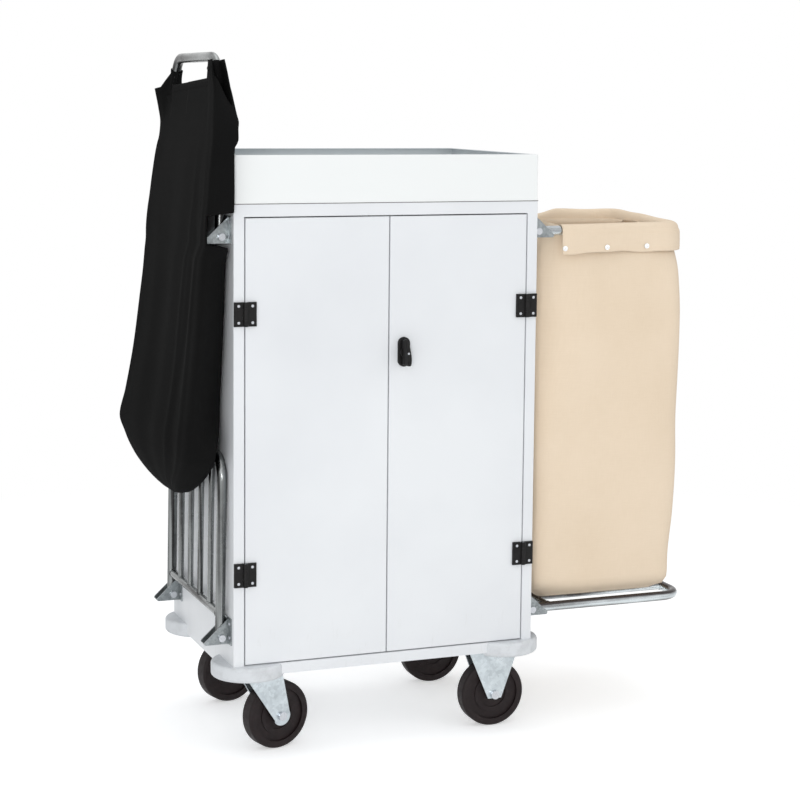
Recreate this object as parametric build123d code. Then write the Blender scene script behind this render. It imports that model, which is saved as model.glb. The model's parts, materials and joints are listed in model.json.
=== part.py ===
from build123d import *
import os
from math import asin, atan2, degrees

# Enclosed linen cart: a two-door cabinet with an open tray on top, on two swivel and two rigid casters.
# Each end carries a folding U-frame that holds a bag by its hem, and a folding platform below it.
# Millimetres. +Z is up, the doors face -Y, and the open bag is on the +X end.

# Cabinet
cabinet_width = 650.0
cabinet_depth = 460.0
base_height = 172.0
base_thickness = 22.0
side_thickness = 22.0
top_thickness = 25.0
back_thickness = 6.0
inside_height = 896.0
board_edge = 1.5

# Tray on top
tray_height = 95.0
tray_sheet = 1.5
tray_rim = 12.0
tray_corner = 4.0

# Shelves and their supports
shelf_count = 2
shelf_thickness = 16.0
shelf_clearance = 1.0
shelf_setback = 14.0
support_size = 12.0
support_thickness = 5.0
support_pin_radius = 2.5
support_pin_depth = 10.0
support_inset = 60.0

# Doors
door_thickness = 18.0
door_gap = 2.5
door_edge = 1.5

# Door hinges
hinge_height = 48.0
hinge_leaf = 23.0
hinge_sheet = 5.0
hinge_corner = 2.0
knuckle_radius = 5.0
knuckle_length = 12.0
knuckle_gap = 0.4
hinge_pin_radius = 2.0
hinge_low_inset = 186.0
hinge_high_inset = 190.0

# Latch on the right door
latch_x = 31.0
latch_drop = 276.0
latch_length = 60.0
latch_width = 25.0
latch_plate = 7.0
latch_sleeve_radius = 8.0
spindle_radius = 4.0
lever_length = 54.0
lever_width = 13.0
lever_depth = 14.0
lever_hub_radius = 10.5
cam_length = 45.0
cam_width = 14.0
cam_sheet = 3.0
cam_boss = 2.5

# Magnetic catch behind the top of the doors
catch_length = 70.0
catch_size = 14.0
strike_length = 26.0
strike_height = 12.0
strike_sheet = 1.2
strike_inset = 5.0

# Corner bumpers
bumper_radius = 75.0
bumper_side_reach = 30.0
bumper_front_reach = 25.0
bumper_lip = 6.0
bumper_drop = 8.0
bumper_round = 6.0

# Casters
wheel_diameter = 140.0
wheel_tread = 34.0
wheel_shoulder = 6.0
wheel_hub_width = 45.0
wheel_hub_radius = 15.0
wheel_rim_depth = 15.0
wheel_dish = 5.0
wheel_ring = 10.0
wheel_ring_step = 2.0
axle_radius = 5.0
axle_head_radius = 9.0
axle_head = 6.0
fork_side_gap = 0.5
fork_sheet = 3.0
fork_bend = 10.0
fork_eye = 20.0
caster_plate = 3.0
caster_plate_length = 100.0
caster_plate_width = 80.0
caster_inset_y = 60.0
swivel_inset_x = 72.0
swivel_trail = 38.0
swivel_yaw = 14.0
swivel_leg_front = 22.0
swivel_leg_top = 18.0
swivel_nose = 62.0
race_radius = 32.0
race_depth = 4.0
crown_radius = 33.0
crown_depth = 10.0
crown_round = 3.0
kingpin_radius = 6.0
kingpin_head_radius = 11.0
kingpin_head = 4.0
rigid_inset_x = 66.0
rigid_plate_length = 118.0
rigid_leg_half = 15.0
rigid_leg_end = 8.0

# Folding frames and platforms
tube_radius = 10.0
tube_wall = 1.5
frame_span = 375.0
frame_length = 350.0
frame_end_span = 300.0
frame_knee = 80.0
frame_bend = 45.0
platform_length = 362.0
pivot_offset = 16.0
upper_pivot_drop = 40.0
lower_pivot_rise = 76.0
cross_bar_radius = 8.0
cross_bar_at = 46.0
platform_bar_radius = 6.0
platform_bars = 4

# Folding brackets
bracket_sheet = 2.5
bracket_reach = 58.0
bracket_height = 54.0
bracket_ear = 17.0
bracket_side_gap = 1.0
bracket_tip = 4.0
pivot_bolt_radius = 4.0
pivot_head_radius = 7.0
pivot_head = 5.0
pivot_nut_radius = 7.5
pivot_nut = 6.0

# Bags
bag_cloth = 2.5
bag_hem_start = 56.0
bag_hem_drop = 48.0
grip_front = -96.0
stud_radius = 5.0
stud_height = 3.0
stud_above_hem = 11.0
stud_pitch = 101.5
stud_count = 3

# Open bag, measured from the right side of the cabinet
bag_rest = 4.0
bag_cabinet_gap = 14.0
bag_bracket_gap = 4.0
bag_shoulder_drop = 170.0
bag_waist_drop = 400.0
bag_swell = 6.0
bag_taper = 4.0
bag_toe = 22.0

# Folded bag, a flat oval that hangs outside its frame, measured from the upper pivots and the frame's legs
drape_gap = 1.5
drape_top_rise = 272.0
drape_neck_rise = 180.0
drape_neck_thickness = 20.0
drape_neck_front_inset = 10.0
drape_shoulder_drop = 40.0
drape_shoulder_thickness = 58.0
drape_belly_drop = 400.0
drape_belly_thickness = 102.0
drape_front_reach = 84.5
drape_rear_reach = 12.5
drape_bottom_drop = 538.0
drape_toe_width = 90.0
drape_toe_spread = 230.0
drape_toe_thickness = 34.0
drape_toe_offset = -20.0
drape_roundness = 0.48
drape_notch_gap = 3.0
drape_roll_reach = 62.0
drape_roll_half = 12.3
drape_roll_end = 240.0
drape_strap_at = 215.0
drape_sleeve_end = 300.0

# Clearances: a turning fit on the radius, a seat that only rests, and cloth on its tube
running_fit = 0.05
rest_gap = 0.4
cloth_gap = 0.4

# Places that follow from the sizes above
left = -cabinet_width / 2
right = cabinet_width / 2
front = -cabinet_depth / 2
back = cabinet_depth / 2
base_top = base_height + base_thickness
ceiling = base_top + inside_height
top_face = ceiling + top_thickness
rim = top_face + tray_height
upper_pivot = ceiling - upper_pivot_drop
lower_pivot = base_height + lower_pivot_rise
hinge_low = base_top + hinge_low_inset
hinge_high = ceiling - hinge_high_inset
latch_z = ceiling - latch_drop
axle_height = wheel_diameter / 2
inner_width = cabinet_width - 2 * side_thickness
door_width = (inner_width - 3 * door_gap) / 2
door_bottom = base_top + door_gap
door_top = ceiling - door_gap
door_back = front + door_thickness
hinge_x = right - side_thickness - door_gap / 2
hinge_y = front - knuckle_radius - 0.5 * rest_gap
leg_y = frame_span / 2
end_y = frame_end_span / 2
leg_turn = degrees(atan2(leg_y - end_y, frame_length - frame_knee))
sleeve_inner = tube_radius + cloth_gap
sleeve_outer = sleeve_inner + bag_cloth

nodes = {}


def block(x0, x1, y0, y1, z0, z1):
    """Makes a box from its two opposite corners."""
    return Pos((x0 + x1) / 2, (y0 + y1) / 2, (z0 + z1) / 2) * Box(x1 - x0, y1 - y0, z1 - z0)


def post(x, y, z0, z1, radius):
    """Makes an upright cylinder between two heights."""
    return Pos(x, y, (z0 + z1) / 2) * Cylinder(radius, z1 - z0)


def rod_x(x0, x1, y, z, radius):
    """Makes a cylinder along X."""
    return Pos((x0 + x1) / 2, y, z) * Rot(0, 90, 0) * Cylinder(radius, x1 - x0)


def rod_y(x, y0, y1, z, radius):
    """Makes a cylinder along Y."""
    return Pos(x, (y0 + y1) / 2, z) * Rot(90, 0, 0) * Cylinder(radius, y1 - y0)


def upright_plate(outline, y0, y1):
    """Extrudes an outline drawn in X and Z from y0 to y1."""
    return Pos(0, y1, 0) * extrude(Plane.XZ * outline, amount=y1 - y0, dir=(0, -1, 0))


def other_side(shape):
    """Mirrors a shape of the right end on to the left end."""
    return mirror(shape, about=Plane.YZ)


def to_rear(shape):
    """Mirrors a shape of the front on to the rear."""
    return mirror(shape, about=Plane.XZ)


# Cabinet boards
shelf_pitch = (inside_height - shelf_count * shelf_thickness) / (shelf_count + 1)
shelf_unders = [base_top + (i + 1) * shelf_pitch + i * shelf_thickness for i in range(shelf_count)]
shelf_front = door_back + shelf_setback
shelf_back = back - back_thickness - shelf_clearance
support_ys = (shelf_front + support_inset, shelf_back - support_inset)


def rounded_board(x0, x1, y0, y1, z0, z1):
    """Makes a board whose four upright edges are slightly rounded."""
    board = block(x0, x1, y0, y1, z0, z1)
    return fillet(board.edges().filter_by(Axis.Z), board_edge)


def side_panel():
    """Makes the right side with blind holes for the shelf supports."""
    panel = rounded_board(right - side_thickness, right, front, back, base_top, ceiling)
    face = right - side_thickness
    for under in shelf_unders:
        for y in support_ys:
            z = under - support_thickness / 2
            panel -= rod_x(face, face + support_pin_depth, y, z, support_pin_radius + running_fit)
    return panel


def shelf_supports():
    """Makes the spoon-shaped pins that carry the shelves."""
    face = right - side_thickness
    pins = []
    for under in shelf_unders:
        for y in support_ys:
            z = under - support_thickness / 2
            spoon = block(face - support_size, face, y - support_size / 2, y + support_size / 2,
                          under - support_thickness, under)
            pin = spoon + rod_x(face, face + support_pin_depth, y, z, support_pin_radius)
            pins += [pin, other_side(pin)]
    return Compound(pins)


def tray():
    """Makes the open tray: a folded sheet pan with an inward rim."""
    pan = block(left, right, front, back, top_face, rim)
    pan = fillet(pan.edges().filter_by(Axis.Z), tray_corner)
    s = tray_sheet
    hollow = block(left + s, right - s, front + s, back - s, top_face + s, rim - s)
    hollow = fillet(hollow.edges().filter_by(Axis.Z), tray_corner - s)
    mouth = block(left + tray_rim, right - tray_rim, front + tray_rim, back - tray_rim, rim - 2 * s, rim + s)
    return pan - hollow - mouth


nodes["base_board"] = rounded_board(left, right, front, back, base_height, base_top)
nodes["side_right"] = side_panel()
nodes["side_left"] = other_side(nodes["side_right"])
nodes["back_panel"] = block(left + side_thickness, right - side_thickness, back - back_thickness, back,
                            base_top, ceiling)
nodes["top_board"] = rounded_board(left, right, front, back, ceiling, top_face)
nodes["tray"] = tray()
for index, under in enumerate(shelf_unders):
    reach = inner_width / 2 - shelf_clearance
    nodes[f"shelf_{index + 1}"] = block(-reach, reach, shelf_front, shelf_back, under, under + shelf_thickness)
nodes["shelf_supports"] = shelf_supports()


# Doors, hinges, latch and catch
def door():
    """Makes the right door with its face edges rounded."""
    x0 = door_gap / 2
    panel = block(x0, x0 + door_width, front, door_back, door_bottom, door_top)
    panel = fillet(panel.faces().sort_by(Axis.Y)[0].edges(), door_edge)
    return panel


def hinge_segment(x_end, z0, z1):
    """Makes one knuckle and the short web that ties it to its leaf, about the right door's axis."""
    web = block(min(x_end, hinge_x), max(x_end, hinge_x), front - hinge_sheet, front - 0.5 * rest_gap, z0, z1)
    return web + post(hinge_x, hinge_y, z0, z1, knuckle_radius)


def hinge_leaves(z):
    """Makes the fixed leaf and the door leaf of one right-hand hinge, centred at a height."""
    z0 = z - hinge_height / 2
    z1 = z + hinge_height / 2
    inner = knuckle_radius + knuckle_gap
    leaves = []
    for sign in (1, -1):
        near = hinge_x + sign * inner
        far = hinge_x + sign * hinge_leaf
        plate = block(min(near, far), max(near, far), front - hinge_sheet, front, z0, z1)
        outer_edges = plate.edges().filter_by(Axis.Z).group_by(Axis.Y)[0].sort_by(Axis.X)
        plate = fillet(outer_edges[-1 if sign > 0 else 0], hinge_corner)
        leaves.append((plate, near))
    fixed, near = leaves[0]
    fixed += hinge_segment(near, z0, z0 + knuckle_length)
    fixed += hinge_segment(near, z1 - knuckle_length, z1)
    moving, near = leaves[1]
    moving += hinge_segment(near, z0 + knuckle_length + knuckle_gap, z1 - knuckle_length - knuckle_gap)
    bore = post(hinge_x, hinge_y, z0, z1, hinge_pin_radius + running_fit)
    return fixed - bore, moving - bore


def latch_plate_piece():
    """Makes the oblong latch plate with the sleeve that passes through the door."""
    outline = Pos(latch_x, latch_z) * Rot(0, 0, 90) * SlotOverall(latch_length, latch_width)
    plate = upright_plate(outline, front - latch_plate, front)
    plate = fillet(plate.faces().sort_by(Axis.Y)[0].edges(), hinge_corner)
    plate += rod_y(latch_x, front, door_back, latch_z, latch_sleeve_radius)
    return plate - rod_y(latch_x, front - latch_plate, door_back, latch_z, spindle_radius + running_fit)


def latch_lever():
    """Makes the wing that is turned by hand, with its spindle."""
    seat = front - latch_plate - rest_gap
    outline = Pos(latch_x, latch_z) * Rot(0, 0, 90) * SlotOverall(lever_length, lever_width)
    wing = upright_plate(outline, seat - lever_depth, seat)
    wing = fillet(wing.faces().sort_by(Axis.Y)[0].edges(), lever_width / 4)
    hub = rod_y(latch_x, seat - lever_depth / 2, seat, latch_z, lever_hub_radius)
    spindle = rod_y(latch_x, seat, door_back + rest_gap + cam_sheet, latch_z, spindle_radius)
    return wing + hub + spindle


def latch_cam():
    """Makes the cam on the end of the spindle, turned up and clear of the left door."""
    y0 = door_back + rest_gap
    y1 = y0 + cam_sheet
    length = cam_length + cam_width / 2
    middle = Pos(latch_x, latch_z + cam_length / 2 - cam_width / 4)
    outline = middle * Rot(0, 0, 90) * SlotOverall(length, cam_width)
    cam = upright_plate(outline, y0, y1) - rod_y(latch_x, y0, y1, latch_z, spindle_radius)
    return cam + rod_y(latch_x, y1, y1 + cam_boss, latch_z, cam_width / 2)


def strike():
    """Makes the steel strike plate behind the right door's top inner corner."""
    return block(strike_inset, strike_inset + strike_length, door_back, door_back + strike_sheet,
                 door_top - strike_height, door_top)


hinge_rows = [hinge_leaves(z) for z in (hinge_low, hinge_high)]
hinge_fixed = Compound([row[0] for row in hinge_rows])
hinge_moving = Compound([row[1] for row in hinge_rows])
hinge_pins = Compound([
    post(hinge_x, hinge_y, z - hinge_height / 2, z + hinge_height / 2, hinge_pin_radius)
    for z in (hinge_low, hinge_high)
])
plain_door = door()
nodes["door_left"] = other_side(plain_door)
nodes["door_right"] = plain_door - rod_y(latch_x, front, door_back, latch_z, latch_sleeve_radius)
nodes["hinge_fixed_left"] = other_side(hinge_fixed)
nodes["hinge_fixed_right"] = hinge_fixed
nodes["hinge_moving_left"] = other_side(hinge_moving)
nodes["hinge_moving_right"] = hinge_moving
nodes["hinge_pins_left"] = other_side(hinge_pins)
nodes["hinge_pins_right"] = hinge_pins
nodes["latch_plate"] = latch_plate_piece()
nodes["latch_lever"] = latch_lever()
nodes["latch_cam"] = latch_cam()
catch_front = door_back + strike_sheet + rest_gap
nodes["door_catch"] = block(-catch_length / 2, catch_length / 2, catch_front, catch_front + catch_size,
                            ceiling - catch_size, ceiling)
nodes["strike_right"] = strike()
nodes["strike_left"] = other_side(nodes["strike_right"])


# Corner bumpers
def bumper():
    """Makes the front right bumper: a round pad that wraps the corner and hooks under the base."""
    x = right + bumper_side_reach - bumper_radius
    y = front - bumper_front_reach + bumper_radius
    pad = post(x, y, base_height - bumper_drop, base_top, bumper_radius)
    pad = fillet(pad.edges().filter_by(GeomType.CIRCLE), bumper_round)
    above_floor = base_top + bumper_drop
    pad -= block(left, right, front, back, base_height, above_floor)
    return pad - block(left, right - bumper_lip, front + bumper_lip, back, 0, base_height)


corner = bumper()
nodes["bumper_front_right"] = corner
nodes["bumper_front_left"] = other_side(corner)
nodes["bumper_rear_right"] = to_rear(corner)
nodes["bumper_rear_left"] = to_rear(other_side(corner))

# Casters
fork_half = wheel_hub_width / 2 + fork_side_gap
fork_out = fork_half + fork_sheet
plate_under = base_height - caster_plate
race_under = plate_under - race_depth
crown_top = race_under - rest_gap
crown_under = crown_top - crown_depth
head_top = crown_under - rest_gap
roof_under = crown_under
roof_top = crown_under + fork_sheet


def wheel():
    """Makes a one-piece moulded wheel about the Y axis: tread, dished web with a ring, and hub."""
    tread = wheel_tread / 2
    radius = wheel_diameter / 2
    rim_inner = radius - wheel_rim_depth
    hub = wheel_hub_width / 2
    web = tread - wheel_dish
    ring_out = (rim_inner + wheel_hub_radius + wheel_ring) / 2
    ring_in = ring_out - wheel_ring
    step = web + wheel_ring_step
    bore = axle_radius + running_fit
    upper = [(bore, hub), (wheel_hub_radius, hub), (wheel_hub_radius, web), (ring_in, web), (ring_in, step),
             (ring_out, step), (ring_out, web), (rim_inner, web), (rim_inner, tread), (radius, tread)]
    lower = [(r, -y) for r, y in reversed(upper)]
    outline = make_face(Polyline(upper + lower, close=True))
    shoulders = outline.vertices().group_by(Axis.X)[-1]
    return revolve(fillet(shoulders, wheel_shoulder), axis=Axis.Y)


def axle():
    """Makes the axle bolt with its round head and its nut, through both fork legs."""
    bolt = rod_y(0, -fork_out, fork_out, 0, axle_radius)
    head = rod_y(0, -fork_out - axle_head, -fork_out, 0, axle_head_radius)
    nut = upright_plate(RegularPolygon(axle_head_radius, 6), fork_out, fork_out + axle_head)
    return bolt + head + nut


def bent_wing(outline, crease_x, turn):
    """Makes a sheet wing on the +Y leg, turned about an upright crease by an angle in degrees."""
    wing = upright_plate(outline, fork_half, fork_out)
    crease = Pos(crease_x, fork_out, 0)
    return crease * Rot(0, 0, turn) * crease.inverse() * wing


def swivel_fork():
    """Makes the pressed swivel fork: crown, roof, two trailing legs and their folded front wings."""
    top = roof_top
    x0 = swivel_leg_front
    eye = Pos(swivel_trail, axle_height) * Circle(fork_eye)
    strip = Polygon((x0, top), (x0 + swivel_leg_top, top), (swivel_trail + fork_eye, axle_height),
                    (x0, axle_height), align=None)
    keep = Pos(x0 + fork_eye * 2, axle_height) * Rectangle(fork_eye * 4, 4 * top)
    leg = upright_plate((strip + eye) & keep, fork_half, fork_out)
    nose = Polygon((x0, top), (x0 - swivel_nose, top), (x0, axle_height - rigid_leg_end), align=None)
    leg += bent_wing(nose, x0, fork_bend)
    fork = leg + to_rear(leg)
    fork += block(x0 - swivel_nose / 2, x0 + swivel_leg_top, -fork_out, fork_out, roof_under, roof_top)
    crown = post(0, 0, crown_under, crown_top, crown_radius)
    fork += fillet(crown.edges().group_by(Axis.Z)[-1], crown_round)
    fork -= post(0, 0, crown_under, crown_top, kingpin_radius + running_fit)
    return fork - rod_y(swivel_trail, -fork_out, fork_out, axle_height, axle_radius)


def swivel_plate():
    """Makes the swivel caster's top plate with its race and the headed kingpin."""
    plate = block(-caster_plate_length / 2, caster_plate_length / 2, -caster_plate_width / 2,
                  caster_plate_width / 2, plate_under, base_height)
    plate += post(0, 0, race_under, plate_under, race_radius)
    plate += post(0, 0, head_top, race_under, kingpin_radius)
    return plate + post(0, 0, head_top - kingpin_head, head_top, kingpin_head_radius)


def rigid_fork():
    """Makes the rigid fork: a top plate and two creased legs that taper to the axle."""
    top = plate_under
    end = axle_height - rigid_leg_end
    half = rigid_leg_half
    strip = Polygon((-half, top), (half, top), (half, end), (-half, end), align=None)
    wing = Polygon((half, top), (rigid_plate_length / 2, top), (half, end), align=None)
    leg = upright_plate(strip, fork_half, fork_out)
    right_wing = bent_wing(wing, half, -fork_bend)
    leg += right_wing + other_side(right_wing)
    fork = leg + to_rear(leg)
    fork += block(-rigid_plate_length / 2, rigid_plate_length / 2, -caster_plate_width / 2,
                  caster_plate_width / 2, plate_under, base_height)
    return fork - rod_y(0, -fork_out, fork_out, axle_height, axle_radius)


caster_y = cabinet_depth / 2 - caster_inset_y
swivel_x = left + swivel_inset_x
rigid_x = right - rigid_inset_x
one_wheel = Pos(0, 0, axle_height) * wheel()
one_axle = Pos(0, 0, axle_height) * axle()
for row, y in (("front", -caster_y), ("rear", caster_y)):
    mount = Pos(swivel_x, y, 0)
    turned = mount * Rot(0, 0, swivel_yaw)
    trail = Pos(swivel_trail, 0, 0)
    nodes[f"swivel_plate_{row}"] = mount * swivel_plate()
    nodes[f"swivel_fork_{row}"] = turned * swivel_fork()
    nodes[f"wheel_{row}_left"] = turned * trail * one_wheel
    nodes[f"axle_{row}_left"] = turned * trail * one_axle
    mount = Pos(rigid_x, y, 0)
    nodes[f"rigid_fork_{row}"] = mount * rigid_fork()
    nodes[f"wheel_{row}_right"] = mount * one_wheel
    nodes[f"axle_{row}_right"] = mount * one_axle

# Folding brackets and their pivot bolts
cheek_gap = tube_radius + bracket_side_gap
cheek_out = cheek_gap + bracket_sheet
bracket_under = tube_radius + rest_gap + bracket_sheet


def bracket(y, pivot):
    """Makes one U-bracket on the right side: two triangular cheeks, a stop web below and screw ears."""
    z0 = pivot - bracket_under
    z1 = z0 + bracket_height
    outline = Polygon((right, z0), (right + bracket_reach, z0), (right, z1), align=None)
    outline = fillet(outline.vertices().sort_by(Axis.X)[-1], bracket_tip)
    cheek = upright_plate(outline, y + cheek_gap, y + cheek_out)
    other_cheek = upright_plate(outline, y - cheek_out, y - cheek_gap)
    ears = block(right, right + bracket_sheet, y - cheek_out - bracket_ear, y + cheek_out + bracket_ear, z0, z1)
    web = block(right, right + bracket_reach - 2 * bracket_tip, y - cheek_gap, y + cheek_gap,
                z0, z0 + bracket_sheet)
    bore = rod_y(right + pivot_offset, y - cheek_out, y + cheek_out, pivot, pivot_bolt_radius)
    return cheek + other_cheek + ears + web - bore


def pivot_bolt(y, pivot):
    """Makes one pivot bolt, with its head to the front and its nut behind."""
    x = right + pivot_offset
    bolt = rod_y(x, y - cheek_out, y + cheek_out, pivot, pivot_bolt_radius)
    head = rod_y(x, y - cheek_out - pivot_head, y - cheek_out, pivot, pivot_head_radius)
    hexagon = Pos(x, pivot) * RegularPolygon(pivot_nut_radius, 6)
    return bolt + head + upright_plate(hexagon, y + cheek_out, y + cheek_out + pivot_nut)


for level, pivot in (("upper", upper_pivot), ("lower", lower_pivot)):
    pair = Compound([bracket(y, pivot) for y in (-leg_y, leg_y)])
    bolts = Compound([pivot_bolt(y, pivot) for y in (-leg_y, leg_y)])
    nodes[f"brackets_{level}_right"] = pair
    nodes[f"brackets_{level}_left"] = other_side(pair)
    nodes[f"pivots_{level}_right"] = bolts
    nodes[f"pivots_{level}_left"] = other_side(bolts)


# Folding frames and platforms, drawn flat with the pivot axis on Y and the end bar out along X
def leg_line(x):
    """Gives how far an upper frame's leg is from the middle at a place along it, past its knee."""
    return leg_y - (leg_y - end_y) * (x - frame_knee) / (frame_length - frame_knee)


def half_u(start, x=frame_length):
    """Gives the corners of an upper frame's front leg from a start to a place along it."""
    return [(start, -leg_y), (frame_knee, -leg_y), (x, -leg_line(x))]


def whole_u(front):
    """Makes a U-frame's centre line from the corners of its front half."""
    return FilletPolyline(*front, *[(x, -y) for x, y in reversed(front)], radius=frame_bend)


def along(path, section):
    """Sweeps a section, drawn with Y across the frame, along a centre line."""
    return sweep(Plane(origin=path @ 0, x_dir=(0, 1, 0), z_dir=path % 0) * section, path=path)


def u_frame(front):
    """Makes the bent tube with rounded open ends drilled for the pivot bolts."""
    tube = along(whole_u(front), Circle(tube_radius) - Circle(tube_radius - tube_wall))
    for y in (-leg_y, leg_y):
        clear = 2 * tube_radius
        end = block(-clear, 0, y - clear, y + clear, -clear, clear)
        tube -= end - rod_y(0, y - clear, y + clear, 0, tube_radius)
        tube -= rod_y(0, y - clear, y + clear, 0, pivot_bolt_radius + running_fit)
    return tube


def weld_depth(radius):
    """Gives how far a round bar runs past the crest of a tube so that its whole end meets the wall."""
    return tube_radius - (tube_radius ** 2 - radius ** 2) ** 0.5 + tube_wall / 3


def platform():
    """Makes the lower platform: the bent tube, a cross bar near the pivots and the lengthwise bars."""
    cross_end = leg_y - tube_radius + weld_depth(cross_bar_radius)
    bar_end = platform_length - tube_radius + weld_depth(platform_bar_radius)
    frame = u_frame([(-tube_radius, -leg_y), (platform_length, -leg_y)])
    frame += rod_y(cross_bar_at, -cross_end, cross_end, 0, cross_bar_radius)
    for i in range(platform_bars):
        y = -leg_y + frame_span * (i + 1) / (platform_bars + 1)
        frame += rod_x(cross_bar_at, bar_end, y, 0, platform_bar_radius)
    return frame


def lean(radius, height):
    """Gives the angle past upright at which a folded leg meets the cabinet at a height over its pivot."""
    return degrees(asin((pivot_offset - radius - rest_gap) / height))


def at_right(shape, pivot):
    """Places a frame drawn flat on the right end, unfolded."""
    return Pos(right + pivot_offset, 0, pivot) * shape


def at_left_folded(shape, pivot, turn):
    """Places a frame drawn flat on the left end, folded up by an angle in degrees."""
    return Pos(left - pivot_offset, 0, pivot) * Rot(0, turn, 0) * other_side(shape)


upper_fold = 90 + lean(sleeve_outer, rim - upper_pivot)
lower_fold = 90 + lean(tube_radius, platform_length)
flat_frame = u_frame(half_u(-tube_radius))
flat_platform = platform()
nodes["frame_right"] = at_right(flat_frame, upper_pivot)
nodes["frame_left"] = at_left_folded(flat_frame, upper_pivot, upper_fold)
nodes["platform_right"] = at_right(flat_platform, lower_pivot)
nodes["platform_left"] = at_left_folded(flat_platform, lower_pivot, lower_fold)

# Open bag on the right frame
bag_bottom = lower_pivot + tube_radius + bag_rest
bag_end = pivot_offset + frame_length
bag_corner = frame_bend - sleeve_inner


def bag_section(z, near, far, half_near, half_far, inset):
    """Makes one level section of the open bag, pulled in by the cloth where it is the inside."""
    x0 = right + near + inset
    x1 = right + far - inset
    y0 = half_near - inset
    y1 = half_far - inset
    outline = Polygon((x0, -y0), (x1, -y1), (x1, y1), (x0, y0), align=None)
    return Pos(0, 0, z) * fillet(outline.vertices(), bag_corner - inset)


def bag_body(inset, floor):
    """Lofts the open bag's body from its floor up to the hem, as its outside or its inside."""
    near = bag_cabinet_gap
    foot = bag_toe / 2
    waist = leg_y + bag_swell / 2
    shoulder = leg_y + bag_swell
    hem_near = bracket_reach + bag_bracket_gap
    hem_far = bag_end - sleeve_inner
    hem_halves = (leg_y - sleeve_inner, end_y - sleeve_inner)
    rows = [(floor, near + foot, bag_end - foot, leg_y - foot, leg_y - foot),
            (floor + bag_toe, near, bag_end - bag_taper, leg_y - bag_taper, leg_y - bag_taper),
            (upper_pivot - bag_waist_drop, near, bag_end + bag_swell / 2, waist, waist),
            (upper_pivot - bag_shoulder_drop, near, bag_end + bag_swell, shoulder, shoulder),
            (upper_pivot - bag_hem_drop, hem_near, hem_far, *hem_halves),
            (upper_pivot, hem_near, hem_far, *hem_halves)]
    return loft([bag_section(*row, inset) for row in rows], ruled=True)


def hem():
    """Sweeps the turned-over hem right round the frame: cloth over the tube with a flap down each side."""
    ring = Circle(sleeve_outer) - Circle(sleeve_inner)
    ring -= Pos(0, -sleeve_outer) * Rectangle(2 * sleeve_outer, 2 * sleeve_outer)
    for sign in (1, -1):
        middle = sign * (sleeve_inner + sleeve_outer) / 2
        ring += Pos(middle, -bag_hem_drop / 2) * Rectangle(bag_cloth, bag_hem_drop)
    return along(whole_u(half_u(bag_hem_start)), ring)


def open_bag():
    """Joins the body and the hem of the open bag."""
    body = bag_body(0, bag_bottom) - bag_body(bag_cloth, bag_bottom + bag_cloth)
    return body + at_right(hem(), upper_pivot)


def snap_studs():
    """Makes the snap studs along the hem's front and rear flaps, each square to its flap."""
    z = stud_above_hem - bag_hem_drop
    studs = []
    for i in range(stud_count):
        x = bag_hem_start + stud_radius + i * stud_pitch
        past_knee = x > frame_knee
        flap = Pos(x, -leg_line(x) if past_knee else -leg_y, z) * Rot(0, 0, leg_turn if past_knee else 0)
        button = rod_y(0, -sleeve_outer - stud_height, -sleeve_outer, 0, stud_radius)
        stud = at_right(flap * button, upper_pivot)
        studs += [stud, to_rear(stud)]
    return Compound(studs)


nodes["bag_right"] = open_bag()
nodes["snap_studs"] = snap_studs()

# Folded bag that hangs from the left frame
drape_face = left - pivot_offset - tube_radius - drape_gap
drape_front = -leg_y - drape_front_reach
drape_rear = leg_y + drape_rear_reach
drape_bottom = upper_pivot - drape_bottom_drop
drape_top = upper_pivot + drape_top_rise


def drape_section(z, front_y, rear_y, thickness, inset):
    """Makes one level section of the folded bag, a flat oval beside the frame."""
    depth = thickness - 2 * inset
    length = rear_y - front_y - 2 * inset
    middle = Pos(drape_face - thickness / 2, (front_y + rear_y) / 2, z)
    return middle * RectangleRounded(depth, length, drape_roundness * depth)


def drape_body(inset, lowest):
    """Lofts the folded bag from its toe over its belly to its mouth, as its outside or its inside."""
    toe = drape_toe_width / 2
    spread = drape_toe_spread / 2
    middle = drape_toe_offset
    neck_front = -leg_y + drape_neck_front_inset
    half_belly = (drape_belly_thickness + drape_toe_thickness) / 2
    rows = [(lowest, middle - toe, middle + toe, drape_toe_thickness),
            (lowest + toe, middle - spread, middle + spread, half_belly),
            (upper_pivot - drape_belly_drop, drape_front, drape_rear, drape_belly_thickness),
            (upper_pivot - drape_shoulder_drop, drape_front, drape_rear, drape_shoulder_thickness),
            (upper_pivot + drape_neck_rise, neck_front, drape_rear, drape_neck_thickness),
            (drape_top, neck_front, drape_rear, drape_neck_thickness)]
    return loft([drape_section(*row, inset) for row in rows], ruled=True)


def bracket_room(grow):
    """Makes the room round the left upper brackets that the folded bag is gathered behind."""
    gap = drape_notch_gap + grow
    outer = left - bracket_reach - gap
    z0 = upper_pivot - bracket_under - gap
    z1 = upper_pivot - bracket_under + bracket_height + gap
    inner_y = leg_y - cheek_out - pivot_nut - gap
    reach = bracket_reach + drape_shoulder_thickness
    front_room = block(outer - reach, left, -leg_y - reach, -inner_y, z0, z1)
    return front_room + block(outer, left, inner_y, leg_y + reach, z0, z1)


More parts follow.
